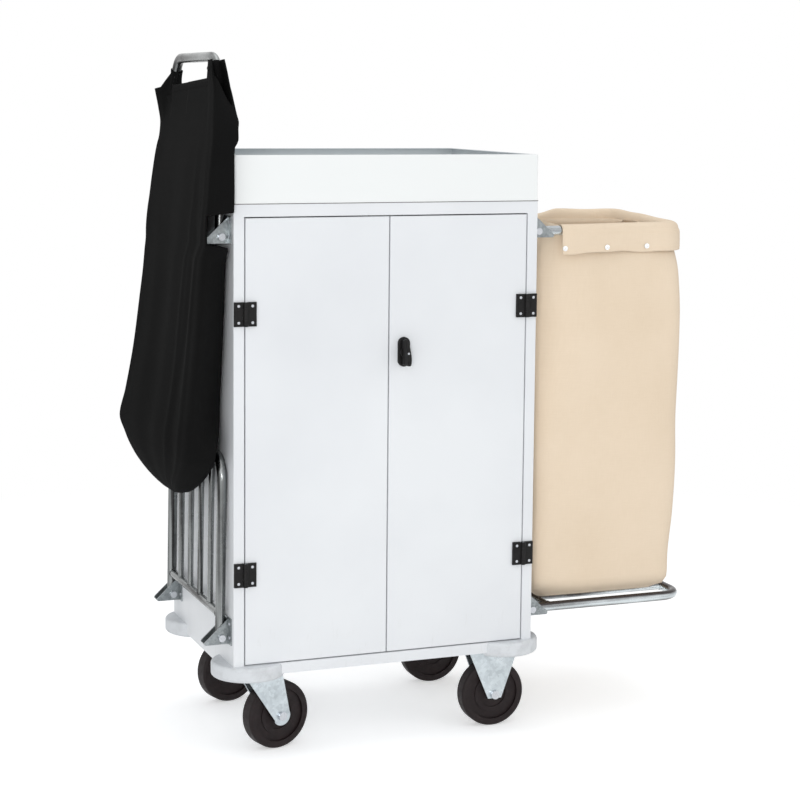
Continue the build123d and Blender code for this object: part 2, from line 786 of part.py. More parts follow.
def folded_bag():
    """Joins the hanging body to the hem sleeves and the roll that stay on the frame's legs."""
    inside = drape_body(bag_cloth, drape_bottom + bag_cloth) - bracket_room(bag_cloth)
    bag = drape_body(0, drape_bottom) - bracket_room(0) - inside
    sleeve = Circle(sleeve_outer)
    leg = FilletPolyline(*half_u(bag_hem_start, drape_sleeve_end), radius=frame_bend)
    corner = FilletPolyline(*half_u(bag_hem_start), (frame_length, grip_front), radius=frame_bend)
    roll_path = FilletPolyline(*half_u(bag_hem_start, drape_roll_end), radius=frame_bend)
    roll = SlotOverall(drape_roll_reach + 2 * drape_roll_half, 2 * drape_roll_half)
    cloth = along(corner, sleeve) + to_rear(along(leg, sleeve))
    cloth += along(roll_path, Pos(-drape_roll_reach / 2, 0) * roll)
    bag += at_left_folded(cloth, upper_pivot, upper_fold)
    strap_y = leg_line(drape_strap_at)
    z0 = upper_pivot + drape_strap_at
    for y in (-strap_y, strap_y):
        bag += block(drape_face - bag_cloth, left - pivot_offset, y - tube_radius, y + tube_radius,
                     z0, drape_top)
    bore = along(whole_u(half_u(0)), Circle(sleeve_inner))
    return bag - at_left_folded(bore, upper_pivot, upper_fold)


nodes["bag_left"] = folded_bag()

# The origin is on the floor, midway between the outer limits of the whole cart
limits = Compound(list(nodes.values())).bounding_box()
origin = Pos(-(limits.min.X + limits.max.X) / 2, -(limits.min.Y + limits.max.Y) / 2, -limits.min.Z)

os.makedirs("parts", exist_ok=True)
for name, shape in nodes.items():
    export_step(origin * shape, f"parts/{name}.step")
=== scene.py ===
"""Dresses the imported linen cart: finishes, fasteners, stitching and the two cloth bags."""

import json
import logging
import math
from dataclasses import dataclass, field
from enum import Enum
from itertools import product
from typing import Iterable, Sequence

import bpy
import numpy as np
from mathutils import Matrix, Vector


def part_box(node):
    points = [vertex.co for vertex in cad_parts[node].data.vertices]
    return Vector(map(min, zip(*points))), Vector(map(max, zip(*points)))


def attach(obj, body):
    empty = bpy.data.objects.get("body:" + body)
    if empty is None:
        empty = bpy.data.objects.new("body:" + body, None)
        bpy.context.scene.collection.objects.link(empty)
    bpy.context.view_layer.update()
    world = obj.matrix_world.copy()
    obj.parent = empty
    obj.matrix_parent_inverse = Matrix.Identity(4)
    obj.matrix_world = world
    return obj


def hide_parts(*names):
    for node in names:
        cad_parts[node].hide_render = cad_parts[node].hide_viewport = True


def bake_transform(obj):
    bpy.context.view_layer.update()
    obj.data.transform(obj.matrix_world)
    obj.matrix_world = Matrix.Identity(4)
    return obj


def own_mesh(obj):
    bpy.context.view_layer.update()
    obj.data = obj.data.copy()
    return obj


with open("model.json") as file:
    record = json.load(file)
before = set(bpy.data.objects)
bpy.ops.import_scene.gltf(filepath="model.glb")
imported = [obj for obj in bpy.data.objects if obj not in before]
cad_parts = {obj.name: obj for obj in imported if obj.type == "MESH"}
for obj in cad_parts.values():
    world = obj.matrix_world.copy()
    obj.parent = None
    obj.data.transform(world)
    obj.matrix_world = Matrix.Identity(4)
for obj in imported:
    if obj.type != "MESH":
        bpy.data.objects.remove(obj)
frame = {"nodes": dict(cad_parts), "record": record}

log = logging.getLogger("linen_cart")
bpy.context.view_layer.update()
MM = 0.001
TINY = 1e-6
CORNER_POINTS = 9
MOST_ROUNDING = 0.48
Colour = tuple[float, float, float]
Range = tuple[float, float]
Span = tuple[float, float, float, float]
Place = tuple[float, float, float]
Socket = bpy.types.NodeSocket
WHITE: Colour = (1.0, 1.0, 1.0)
UNTURNED: Place = (0.0, 0.0, 0.0)
TO_FRONT: Place = (0.0, -1.0, 0.0)
TO_LEFT: Place = (-1.0, 0.0, 0.0)
DOWN: Place = (0.0, 0.0, -1.0)


class Side(Enum):
    """The end of the cart a piece belongs to."""

    LEFT = "left"
    RIGHT = "right"


class RowEnd(Enum):
    """The front or the rear one of a pair."""

    FRONT = "front"
    REAR = "rear"


def srgb(red: int, green: int, blue: int) -> Colour:
    """Turns display values from 0 to 255 into the linear colour that shaders take.

    Args:
        red: Red as displayed.
        green: Green as displayed.
        blue: Blue as displayed.

    Returns:
        The linear colour.
    """
    def linear(value: int) -> float:
        """Gives one channel's linear value."""
        share = value / 255
        return share / 12.92 if share <= 0.04045 else ((share + 0.055) / 1.055) ** 2.4

    return linear(red), linear(green), linear(blue)


@dataclass(frozen=True)
class Patches:
    """Uneven patches: features per metre, finer layers and their weight, the noise's band and its values."""

    scale: float
    detail: float = 3.0
    weight: float = 0.5
    band: Range = (0.3, 0.7)
    values: Range = (0.0, 1.0)


class NodePen:
    """Draws a shader tree, one node and its links at a time."""

    def __init__(self, tree: bpy.types.NodeTree, output: str) -> None:
        """Empties a tree and gives it an output.

        Args:
            tree: The tree of a material or a world.
            output: The output node's type name without the ShaderNode prefix.
        """
        tree.nodes.clear()
        self.tree = tree
        self.output = self.node(output)

    def node(self, kind: str, **inputs: object) -> bpy.types.Node:
        """Adds a node and fills its inputs.

        Args:
            kind: The node's type name without the ShaderNode prefix.
            inputs: Values or sockets by input name, and node properties by attribute name.

        Returns:
            The new node.
        """
        made = self.tree.nodes.new("ShaderNode" + kind)
        for key, value in inputs.items():
            if hasattr(made, key):
                setattr(made, key, value)
            else:
                self.feed(made.inputs[key.replace("_", " ")], value)
        return made

    def feed(self, socket: Socket, value: object) -> None:
        """Links a socket to another, or sets its value.

        Args:
            socket: The input to fill.
            value: An output socket, a number, a vector or a colour.
        """
        if isinstance(value, Socket):
            self.tree.links.new(value, socket)
        elif isinstance(value, tuple) and len(value) == 3 and socket.type == "RGBA":
            socket.default_value = (*value, 1.0)
        else:
            socket.default_value = value

    def show(self, surface: Socket) -> None:
        """Links a shader to the tree's output."""
        self.feed(self.output.inputs["Surface"], surface)

    def place(self, scale: Sequence[float] = (1, 1, 1), uv: bool = False) -> Socket:
        """Gives the piece's own coordinates, or its UV map in metres, stretched by a scale."""
        source = self.node("TexCoord").outputs["UV" if uv else "Object"]
        return self.node("Mapping", Vector=source, Scale=tuple(scale)).outputs["Vector"]

    def noise(self, place: Socket, scale: float, detail: float = 3.0, weight: float = 0.5) -> Socket:
        """Gives a noise pattern by its features per metre, its finer layers and their weight."""
        made = self.node("TexNoise", Vector=place, Scale=scale, Detail=detail, Roughness=weight)
        return made.outputs["Fac"]

    def ramp(self, factor: Socket, band: Range, values: Range = (0, 1)) -> Socket:
        """Maps a factor from one range to another, held at its ends.

        Args:
            factor: The factor to map.
            band: Where the output starts and stops changing.
            values: The output at both.

        Returns:
            The mapped factor.
        """
        made = self.node("MapRange", Value=factor)
        for name, value in zip(("From Min", "From Max", "To Min", "To Max"), (*band, *values)):
            made.inputs[name].default_value = value
        return made.outputs["Result"]

    def patches(self, place: Socket, look: Patches) -> Socket:
        """Gives uneven patches at the given coordinates."""
        return self.ramp(self.noise(place, look.scale, look.detail, look.weight), look.band, look.values)

    def mix(self, factor: Socket, first: Colour | Socket, second: Colour | Socket) -> Socket:
        """Mixes two colours by a factor.

        Args:
            factor: 0 gives the first colour and 1 the second.
            first: A colour or a colour socket.
            second: A colour or a colour socket.

        Returns:
            The colour socket.
        """
        made = self.node("Mix", data_type="RGBA", Factor=factor)
        colours = [socket for socket in made.inputs if socket.type == "RGBA"]
        for socket, colour in zip(colours, (first, second)):
            self.feed(socket, colour)
        return next(socket for socket in made.outputs if socket.type == "RGBA")

    def mix_shaders(self, factor: Socket, first: Socket, second: Socket) -> Socket:
        """Mixes two shaders by a factor.

        Args:
            factor: 0 gives the first shader and 1 the second.
            first: A shader socket.
            second: A shader socket.

        Returns:
            The shader socket.
        """
        made = self.node("MixShader", Fac=factor)
        self.feed(made.inputs[1], first)
        self.feed(made.inputs[2], second)
        return made.outputs[0]

    def math(self, operation: str, *values: object) -> Socket:
        """Adds a calculation on one to three numbers.

        Args:
            operation: The Math node's operation.
            values: Numbers or sockets.

        Returns:
            The result socket.
        """
        made = self.node("Math", operation=operation)
        for socket, value in zip(made.inputs, values):
            self.feed(socket, value)
        return made.outputs[0]

    def bump(self, height: Socket, depth: float, strength: float = 1.0) -> Socket:
        """Turns a height pattern into a bumped normal, where depth is the height of 1 in metres."""
        return self.node("Bump", Height=height, Distance=depth, Strength=strength).outputs["Normal"]

    def seen(self) -> Socket:
        """Tells what is seen, straight or in a glossy or clear piece, from what only lights the cart.

        Returns:
            A factor of 1 where it is seen and 0 where it lights.
        """
        path = self.node("LightPath")
        straight = self.math("MAXIMUM", path.outputs["Is Camera Ray"], path.outputs["Is Glossy Ray"])
        return self.math("MAXIMUM", straight, path.outputs["Is Transmission Ray"])


class MaterialPen(NodePen):
    """Draws a material round a Principled shader."""

    def __init__(self, name: str) -> None:
        """Starts the material with its shader and output.

        Args:
            name: The material's name.
        """
        self.material = bpy.data.materials.new(name)
        self.material.use_nodes = True
        super().__init__(self.material.node_tree, "OutputMaterial")
        self.shader = self.node("BsdfPrincipled")
        self.show(self.shader.outputs["BSDF"])

    def finish(self, **inputs: object) -> bpy.types.Material:
        """Fills the shader's sockets by name and gives the material.

        Args:
            inputs: Values or sockets, with underscores for spaces.

        Returns:
            The finished material.
        """
        for key, value in inputs.items():
            self.feed(self.shader.inputs[key.replace("_", " ")], value)
        return self.material


@dataclass(frozen=True)
class WhiteBoard:
    """Melamine-faced board: white, faintly mottled, with a fine pebbled skin and scuffs low down."""

    name: str = "white_board"
    colour: Colour = srgb(238, 240, 242)
    shade: Colour = srgb(228, 230, 233)
    scuff: Colour = srgb(204, 203, 200)
    scuff_heights: Range = (0.32, 0.16)
    scuff_stretch: Place = (3, 3, 0.6)
    marks: Patches = Patches(30, 6, 0.7, (0.58, 0.72), (0, 0.35))
    mottle: Patches = Patches(2.2, 4, band=(0.35, 0.7))
    gloss: Patches = Patches(14, 4, values=(0.34, 0.46))
    pebbles: float = 900.0
    pebble_depth: float = 0.00004

    def material(self) -> bpy.types.Material:
        """Builds the material.

        Returns:
            The material.
        """
        pen = MaterialPen(self.name)
        place = pen.place()
        height = pen.node("SeparateXYZ", Vector=place).outputs["Z"]
        marks = pen.patches(pen.place(self.scuff_stretch), self.marks)
        scuffs = pen.math("MULTIPLY", pen.ramp(height, self.scuff_heights), marks)
        board = pen.mix(pen.patches(place, self.mottle), self.colour, self.shade)
        pebbles = pen.noise(place, self.pebbles, detail=2)
        return pen.finish(Base_Color=pen.mix(scuffs, board, self.scuff),
                          Roughness=pen.patches(place, self.gloss),
                          Normal=pen.bump(pebbles, self.pebble_depth), Specular_IOR_Level=0.45)


@dataclass(frozen=True)
class PowderCoat:
    """White powder coat on sheet steel, with orange peel and worn specks, and grey painted shade inside the
    tray.
    """

    middle: Range
    name: str = "white_powder_coat"
    colour: Colour = srgb(243, 245, 244)
    worn: Colour = srgb(214, 216, 217)
    # Painted shade: the grey that the inside of the tray is coloured.
    painted_inner_shade: Colour = srgb(208, 213, 215)
    half_length: float = 0.3236
    half_width: float = 0.2286
    wear: Patches = Patches(45, 6, 0.7, (0.66, 0.74), (0, 0.5))
    gloss: Patches = Patches(9, 3, values=(0.28, 0.4))
    peel: float = 260.0
    peel_depth: float = 0.00006

    def inside(self, pen: MaterialPen) -> Socket:
        """Finds what lies within the tray's walls.

        Args:
            pen: The material's pen.

        Returns:
            A factor of 1 within the walls and 0 outside them.
        """
        place = pen.node("SeparateXYZ", Vector=pen.place())
        within = []
        for axis, middle, half in zip("XY", self.middle, (self.half_length, self.half_width)):
            off = pen.math("ABSOLUTE", pen.math("SUBTRACT", place.outputs[axis], middle))
            within.append(pen.math("LESS_THAN", off, half))
        return pen.math("MULTIPLY", *within)

    def material(self) -> bpy.types.Material:
        """Builds the material.

        Returns:
            The material.
        """
        pen = MaterialPen(self.name)
        place = pen.place()
        coat = pen.mix(pen.patches(place, self.wear), self.colour, self.worn)
        peel = pen.noise(place, self.peel, detail=2, weight=0.4)
        # Painted shade: everything within the tray's walls takes the grey.
        return pen.finish(Base_Color=pen.mix(self.inside(pen), coat, self.painted_inner_shade),
                          Roughness=pen.patches(place, self.gloss), Normal=pen.bump(peel, self.peel_depth),
                          Coat_Weight=0.15, Coat_Roughness=0.2)


@dataclass(frozen=True)
class ZincPlate:
    """Zinc on pressed steel, with a faint spangle and dull patches."""

    name: str = "zinc_plate"
    colour: Colour = srgb(204, 212, 216)
    dull: Colour = srgb(168, 176, 181)
    spangle: float = 150.0
    spangle_share: float = 0.35
    dull_band: Range = (0.45, 1.0)
    dull_values: Range = (0, 0.8)
    gloss_band: Range = (0.3, 0.75)
    gloss: Range = (0.24, 0.44)
    skin: float = 420.0
    skin_depth: float = 0.00003

    def material(self) -> bpy.types.Material:
        """Builds the material.

        Returns:
            The material.
        """
        pen = MaterialPen(self.name)
        place = pen.place()
        grains = pen.node("TexVoronoi", Vector=place, Scale=self.spangle).outputs["Color"]
        grain = pen.node("SeparateColor", Color=grains).outputs[0]
        cloud = pen.noise(place, scale=22, detail=5, weight=0.6)
        tone = pen.math("MULTIPLY_ADD", grain, self.spangle_share, cloud)
        dull = pen.ramp(tone, self.dull_band, self.dull_values)
        return pen.finish(Base_Color=pen.mix(dull, self.colour, self.dull), Metallic=0.9,
                          Roughness=pen.ramp(cloud, self.gloss_band, self.gloss),
                          Normal=pen.bump(pen.noise(place, self.skin, detail=2), self.skin_depth))


@dataclass(frozen=True)
class SteelTube:
    """Plated steel tube with long light and dark bands along one axis, painted reflections, and painted shade
    on its top between two heights.
    """

    name: str
    along: Place
    # The light and dark colours of the painted reflection bands along the tube.
    light: Colour
    dark: Colour
    reflection_streak: float = 150.0
    reflection_band: Range = (0.48, 0.72)
    cloud_share: float = 0.2
    gloss: Patches = Patches(40, 4, values=(0.18, 0.32))
    lines: float = 1400.0
    line_depth: float = 0.00002
    # Painted shade: heights over which the tube's top darkens under the dark bag hanging above it.
    grime_and_shade: Range | None = None
    painted_shade_depth: float = 0.02
    painted_shade_wander: float = 0.002

    def material(self) -> bpy.types.Material:
        """Builds the material.

        Returns:
            The material.
        """
        pen = MaterialPen(self.name)
        place = pen.place()
        # Painted reflections: long light and dark bands along the tube, mixed with a random cloudy tone.
        reflection_streaks = pen.noise(pen.place(self.along), self.reflection_streak, detail=2, weight=0.45)
        cloud = pen.noise(place, scale=16, detail=5, weight=0.65)
        tone = pen.ramp(pen.math("MULTIPLY_ADD", cloud, self.cloud_share, reflection_streaks), self.reflection_band)
        # Painted shade on the tube's top between the two heights, for the dark bag above it.
        if self.grime_and_shade:
            level = pen.node("SeparateXYZ", Vector=place).outputs["Z"]
            height = pen.math("MULTIPLY_ADD", cloud, self.painted_shade_wander, level)
            below = pen.math("LESS_THAN", height, self.grime_and_shade[1] + self.painted_shade_depth)
            tone = pen.math("MAXIMUM", tone, pen.math("MULTIPLY", pen.ramp(height, self.grime_and_shade), below))
        lines = pen.noise(pen.place(self.along), self.lines, detail=2)
        return pen.finish(Base_Color=pen.mix(tone, self.light, self.dark), Metallic=1.0,
                          Roughness=pen.patches(place, self.gloss), Normal=pen.bump(lines, self.line_depth))


@dataclass(frozen=True)
class FastenerSteel:
    """Plated fastener steel with fine turning marks."""

    name: str = "fastener_steel"
    colour: Colour = srgb(196, 199, 204)
    # The colour of real dirt spots; the same name carries the tubes' painted shade heights.
    grime_and_shade: Colour = srgb(112, 112, 114)
    grime_spots: Patches = Patches(300, 4, 0.7, (0.55, 0.8), (0, 0.6))
    gloss: Patches = Patches(180, 3, values=(0.22, 0.4))
    turning: float = 1600.0
    turning_depth: float = 0.00002

    def material(self) -> bpy.types.Material:
        """Builds the material.

        Returns:
            The material.
        """
        pen = MaterialPen(self.name)
        place = pen.place()
        colour = pen.mix(pen.patches(place, self.grime_spots), self.colour, self.grime_and_shade)
        return pen.finish(Base_Color=colour, Metallic=0.95, Roughness=pen.patches(place, self.gloss),
                          Normal=pen.bump(pen.noise(place, self.turning, detail=2), self.turning_depth))


@dataclass(frozen=True)
class MouldedPlastic:
    """Moulded plastic in one colour, with a fine spark texture and rubbed patches."""

    name: str
    colour: Colour
    rubbed: Colour
    gloss: Range
    texture: float = 700.0
    depth: float = 0.00006
    patch: float = 40.0
    gloss_patch: float = 1.7

    def material(self) -> bpy.types.Material:
        """Builds the material.

        Returns:
            The material.
        """
        pen = MaterialPen(self.name)
        place = pen.place()
        wear = Patches(self.patch, detail=5, weight=0.65, band=(0.45, 0.8), values=(0, 0.8))
        gloss = pen.patches(place, Patches(self.patch * self.gloss_patch, values=self.gloss))
        spark = pen.noise(place, self.texture, weight=0.6)
        colour = pen.mix(pen.patches(place, wear), self.colour, self.rubbed)
        return pen.finish(Base_Color=colour, Roughness=gloss,
                          Normal=pen.bump(spark, self.depth), Specular_IOR_Level=0.3)


@dataclass(frozen=True)
class WovenCloth:
    """Plain-woven heavy cloth that follows the piece's UV map, laid out in metres."""

    name: str
    colour: Colour
    shade: Colour
    sheen: float
    sheen_tint: Colour
    thread: float = 0.0008
    slub: float = 420.0
    slub_length: float = 0.08
    slub_share: float = 0.35
    tone_band: Range = (0.55, 1.1)
    weave_share: float = 0.5
    weave_depth: float = 0.0001
    weave_strength: float = 0.6
    roughness: float = 0.85
    specular: float = 0.1

    def material(self) -> bpy.types.Material:
        """Builds the material.

        Returns:
            The material.
        """
        pen = MaterialPen(self.name)
        place = pen.node("SeparateXYZ", Vector=pen.place(uv=True))
        turns = math.pi / self.thread
        yarns = [pen.math("SINE", pen.math("MULTIPLY", place.outputs[axis], turns)) for axis in "XY"]
        slubs = [pen.noise(pen.place(stretch, uv=True), self.slub)
                 for stretch in ((1, self.slub_length, 1), (self.slub_length, 1, 1))]
        threads = pen.math("ADD", *slubs)
        cloud = pen.noise(pen.place(), scale=5, detail=5, weight=0.6)
        tone = pen.ramp(pen.math("MULTIPLY_ADD", threads, self.slub_share, cloud), self.tone_band)
        height = pen.math("MULTIPLY_ADD", pen.math("MULTIPLY", *yarns), self.weave_share, threads)
        return pen.finish(Base_Color=pen.mix(tone, self.colour, self.shade), Roughness=self.roughness,
                          Normal=pen.bump(height, self.weave_depth, self.weave_strength),
                          Sheen_Weight=self.sheen, Sheen_Tint=self.sheen_tint, Sheen_Roughness=0.5,
                          Specular_IOR_Level=self.specular)


@dataclass(frozen=True)
class StudioFloor:
    """The pale floor, seen white and keeping the cart's soft shadow."""

    name: str = "studio_floor"
    colour: Colour = srgb(250, 250, 250)
    shadow_reach: Range = (0.9, 2.6)
    lift: float = 0.4

    def material(self) -> bpy.types.Material:
        """Builds the material: lit near the cart, where its shadow falls, and plain white further off.

        Returns:
            The material.
        """
        pen = MaterialPen(self.name)
        pen.finish(Base_Color=self.colour, Roughness=0.9, Specular_IOR_Level=0.1)
        distance = pen.node("VectorMath", operation="LENGTH")
        pen.feed(distance.inputs[0], pen.place())
        seen = pen.seen()
        away = pen.ramp(distance.outputs["Value"], self.shadow_reach)
        white = pen.node("Emission", Color=WHITE, Strength=1.0)
        glow = pen.node("Emission", Color=WHITE, Strength=pen.math("MULTIPLY", seen, self.lift))
        lit = pen.node("AddShader")
        for socket, shader in zip(lit.inputs, (pen.shader, glow)):
            pen.feed(socket, shader.outputs[0])
        pen.show(pen.mix_shaders(pen.math("MULTIPLY", seen, away), lit.outputs[0], white.outputs[0]))
        return pen.material


@dataclass
class CartPlan:
    """The cart's main places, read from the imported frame, in metres."""

    left: float = field(init=False)
    right: float = field(init=False)
    front: float = field(init=False)
    back: float = field(init=False)

    def __post_init__(self) -> None:
        """Reads the cabinet's sides."""
        self.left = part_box("side_left")[0].x
        self.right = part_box("side_right")[1].x
        self.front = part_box("side_left")[0].y
        self.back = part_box("side_left")[1].y

    @property
    def middle(self) -> Vector:
        """The middle of the cabinet's footprint, on the floor."""
        return Vector(((self.left + self.right) / 2, (self.front + self.back) / 2, 0))


class Finishes:
    """Every material of the cart, made once."""

    def __init__(self, plan: CartPlan) -> None:
        """Builds the materials and lists them by the record's slots.

        Args:
            plan: The cart's main places.
        """
        self.bracket = ZincPlate("bracket_zinc", srgb(158, 164, 166), srgb(104, 108, 110), 240.0).material()
        # Lit and shaded copies of one tube steel: painted shade darkens the upright (left) tubes, and painted
        # highlight lightens the level (right) ones.
        self.upright = SteelTube("shaded_upright_tube", (1, 0.03, 0.02), srgb(146, 149, 149),
                                 srgb(58, 58, 58)).material()
        # The level tube's top, on the platform, also gets painted shade between these heights.
        self.level = SteelTube("lit_level_tube", (0.02, 0.03, 0.6), srgb(208, 215, 218), srgb(72, 68, 68),
                               grime_and_shade=(0.2505, 0.2555)).material()
        self.steel = FastenerSteel().material()
        self.snap = FastenerSteel("snap_nickel", srgb(244, 245, 246), srgb(214, 215, 217)).material()
        self.seam = MouldedPlastic("dark_seam", srgb(84, 78, 76), srgb(104, 98, 96), (0.6, 0.8)).material()
        self.black = MouldedPlastic("black_plastic", srgb(6, 5, 5), srgb(15, 12, 12), (0.5, 0.66)).material()
        wheel = MouldedPlastic("moulded_wheel", srgb(24, 14, 15), srgb(38, 26, 26), (0.5, 0.66),
                               texture=420, patch=60)
        bumper = MouldedPlastic("bumper_plastic", srgb(222, 225, 228), srgb(196, 198, 200), (0.42, 0.58),
                                texture=520)
        catch = MouldedPlastic("catch_plastic", srgb(150, 151, 152), srgb(126, 127, 128), (0.4, 0.55))
        self.beige = WovenCloth("beige_cloth", srgb(243, 224, 200), srgb(235, 215, 189), 0.15,
                                srgb(255, 240, 220)).material()
        self.dark = WovenCloth("black_cloth", srgb(23, 23, 23), srgb(18, 18, 18), 0.0, srgb(60, 60, 62),
                               specular=0.04).material()
        self.floor = StudioFloor().material()
        self.slots = {
            "board_white": WhiteBoard().material(),
            "tray_white": PowderCoat((plan.middle.x, plan.middle.y)).material(),
            "bumper_grey": bumper.material(),
            "tube_steel": self.upright,
            "zinc": ZincPlate().material(),
            "hinge_black": self.black,
            "wheel_black": wheel.material(),
            "bolt_steel": self.steel,
            "bag_beige": self.beige,
            "bag_black": self.dark,
            "catch_grey": catch.material(),
        }

    def for_node(self, name: str, slot: str) -> bpy.types.Material:
        """Gives a CAD node's material: its slot's, a darker zinc for the brackets, and for the right frame
        and platform a lighter tube copy, a painted highlight beside the slot's painted-shade copy.

        Args:
            name: The node's name.
            slot: The node's slot.

        Returns:
            The material.
        """
        if name.startswith("brackets_"):
            return self.bracket
        if name in ("frame_right", "platform_right"):
            return self.level
        return self.slots[slot]


def dress_nodes(finishes: Finishes) -> None:
    """Gives every CAD node the finish of its slot.

    Args:
        finishes: The cart's materials.
    """
    slots = {row["node"]: row["material_slot"] for row in frame["record"]["subparts"]}
    for name, node in frame["nodes"].items():
        node.data.materials.clear()
        node.data.materials.append(finishes.for_node(name, slots[name]))
        report(node)


def put_in_scene(name: str, data: bpy.types.ID) -> bpy.types.Object:
    """Makes an object and puts it in the scene.

    Args:
        name: The object's name.
        data: Its mesh, lamp or camera.

    Returns:
        The object.
    """
    made = bpy.data.objects.new(name, data)
    bpy.context.scene.collection.objects.link(made)
    return made


def report(piece: bpy.types.Object) -> None:
    """Logs a finished piece."""
    log.info("%s: %d faces", piece.name, len(piece.data.polygons))


@dataclass(frozen=True)
class Lamp:
    """A soft square lamp: its place from the cabinet's middle on the floor, its side and its watts."""

    name: str
    offset: Place
    size: float
    power: float


@dataclass
class Studio:
    """The camera, the lights, the world and the floor, in metres and radians."""

    plan: CartPlan
    camera_offset: Place = (-1.4379, -3.9801, 1.3309)
    turn: float = math.radians(21.287)
    dip: float = math.radians(6.416)
    roll: float = math.radians(0.521)
    focal_pixels: float = 2012.4
    image_pixels: float = 800.0
    sensor: float = 36.0
    shift: float = -0.1
    sight: float = 60.0
    sky: Colour = (0.96, 0.98, 1.0)
    sky_strength: float = 0.58
    aim_height: float = 0.7
    floor_size: float = 14.0
    lamps: tuple[Lamp, ...] = (
        Lamp("key", (-2.6, -3.4, 3.4), 3.0, 18.0),
        Lamp("front", (-2.0, -4.4, 1.4), 0.9, 50.0),
        Lamp("fill", (3.2, -3.0, 2.2), 3.2, 20.0),
        Lamp("top", (0.0, 0.4, 4.2), 3.6, 36.0),
    )

    def build(self, finishes: Finishes) -> None:
        """Makes the stage.

        Args:
            finishes: The cart's materials, for the floor.
        """
        self.camera()
        self.world()
        for lamp in self.lamps:
            self.light(lamp)
        self.floor(finishes)

    def camera(self) -> None:
        """Places the camera where the photograph was taken."""
        data = bpy.data.cameras.new("camera")
        data.sensor_width = self.sensor
        data.lens = self.focal_pixels / self.image_pixels * self.sensor
        data.shift_y = self.shift
        data.clip_end = self.sight
        level = Vector((math.cos(self.turn), -math.sin(self.turn), 0))
        ahead = Vector((math.sin(self.turn) * math.cos(self.dip), math.cos(self.turn) * math.cos(self.dip),
                        -math.sin(self.dip)))
        upright = level.cross(ahead)
        right = level * math.cos(self.roll) + upright * math.sin(self.roll)
        up = upright * math.cos(self.roll) - level * math.sin(self.roll)
        place = Matrix((right, up, -ahead)).transposed().to_4x4()
        place.translation = self.plan.middle + Vector(self.camera_offset)
        camera = put_in_scene("camera", data)
        camera.matrix_world = place
        bpy.context.scene.camera = camera

    def world(self) -> None:
        """Lights the cart evenly, and shows white behind it."""
        world = bpy.data.worlds.new("studio")
        world.use_nodes = True
        bpy.context.scene.world = world
        pen = NodePen(world.node_tree, "OutputWorld")
        light = pen.node("Background", Color=self.sky, Strength=self.sky_strength)
        white = pen.node("Background", Color=WHITE, Strength=1.0)
        pen.show(pen.mix_shaders(pen.seen(), light.outputs[0], white.outputs[0]))

    def light(self, lamp: Lamp) -> None:
        """Adds a lamp that looks at the cart's middle.

        Args:
            lamp: The lamp.
        """
        data = bpy.data.lights.new(lamp.name, "AREA")
        data.size = lamp.size
        data.energy = lamp.power
        made = put_in_scene(lamp.name, data)
        made.location = self.plan.middle + Vector(lamp.offset)
        aim = self.plan.middle + Vector((0, 0, self.aim_height)) - made.location
        made.rotation_euler = aim.to_track_quat("-Z", "Y").to_euler()

    def floor(self, finishes: Finishes) -> None:
        """Lays the floor.

        Args:
            finishes: The cart's materials.
        """
        half = self.floor_size / 2
        mesh = bpy.data.meshes.new("floor")
        corners = [(-half, -half, 0), (half, -half, 0), (half, half, 0), (-half, half, 0)]
        mesh.from_pydata(corners, [], [(0, 1, 2, 3)])
        mesh.materials.append(finishes.floor)
        floor = put_in_scene("floor", mesh)


def along_rows(rows: Sequence[Sequence[float]], at: np.ndarray) -> np.ndarray:
    """Follows rows of values along rising keys, smoothly and without overshoot.

    Args:
        rows: The rows, each with its key first.
        at: The keys to read.

    Returns:
        One row of values for each key read.
    """
    table = np.array(rows, float)
    keys, values = table[:, 0], table[:, 1:]
    steps = np.diff(keys)
    slopes = np.diff(values, axis=0) / steps[:, None]
    same = slopes[:-1] * slopes[1:] > 0
    mean = 2 * slopes[:-1] * slopes[1:] / np.where(same, slopes[:-1] + slopes[1:], 1)
    lean = np.vstack([slopes[:1], np.where(same, mean, 0), slopes[-1:]])
    cell = np.clip(np.searchsorted(keys, at) - 1, 0, len(steps) - 1)
    t = np.clip((at - keys[cell]) / steps[cell], 0, 1)[:, None]
    step = steps[cell][:, None]
    start = (1 + 2 * t) * (1 - t) ** 2 * values[cell] + t * (1 - t) ** 2 * step * lean[cell]
    return start + t * t * (3 - 2 * t) * values[cell + 1] + t * t * (t - 1) * step * lean[cell + 1]


def soft_loop(corners: np.ndarray, rounding: Sequence[float], per_side: Sequence[int],
              per_corner: int = CORNER_POINTS) -> np.ndarray:
    """Draws a closed outline with straight sides and softly rounded corners.

    Args:
        corners: The outline's corners, in order.
        rounding: How far each corner's rounding reaches along its sides.
        per_side: The points on the side after each corner.
        per_corner: The points on each corner.

    Returns:
        The outline's points.
    """
    count = len(corners)
    bends = []
    for i, corner in enumerate(corners):
        ends = []
        for other in (corners[i - 1], corners[(i + 1) % count]):
            way = other - corner
            ends.append(corner + way * min(rounding[i] / max(np.linalg.norm(way), TINY), MOST_ROUNDING))
        t = np.linspace(0, 1, per_corner)[:, None]
        bends.append((1 - t) ** 2 * ends[0] + 2 * t * (1 - t) * corner + t * t * ends[1])
    points = []
    for i, bend in enumerate(bends):
        share = np.linspace(0, 1, per_side[i] + 2)[1:-1, None]
        points += [bend, bend[-1] + share * (bends[(i + 1) % count][0] - bend[-1])]
    return np.vstack(points)


def soft_step(low: float, high: float, value: np.ndarray) -> np.ndarray:
    """Rises smoothly from 0 at low to 1 at high."""
    share = np.clip((value - low) / (high - low), 0, 1)
    return share * share * (3 - 2 * share)


def soft_band(span: Span, value: np.ndarray) -> np.ndarray:
    """Rises from 0 to 1 over the span's first two values, and falls back to 0 over its last two."""
    return soft_step(span[0], span[1], value) * soft_step(span[3], span[2], value)


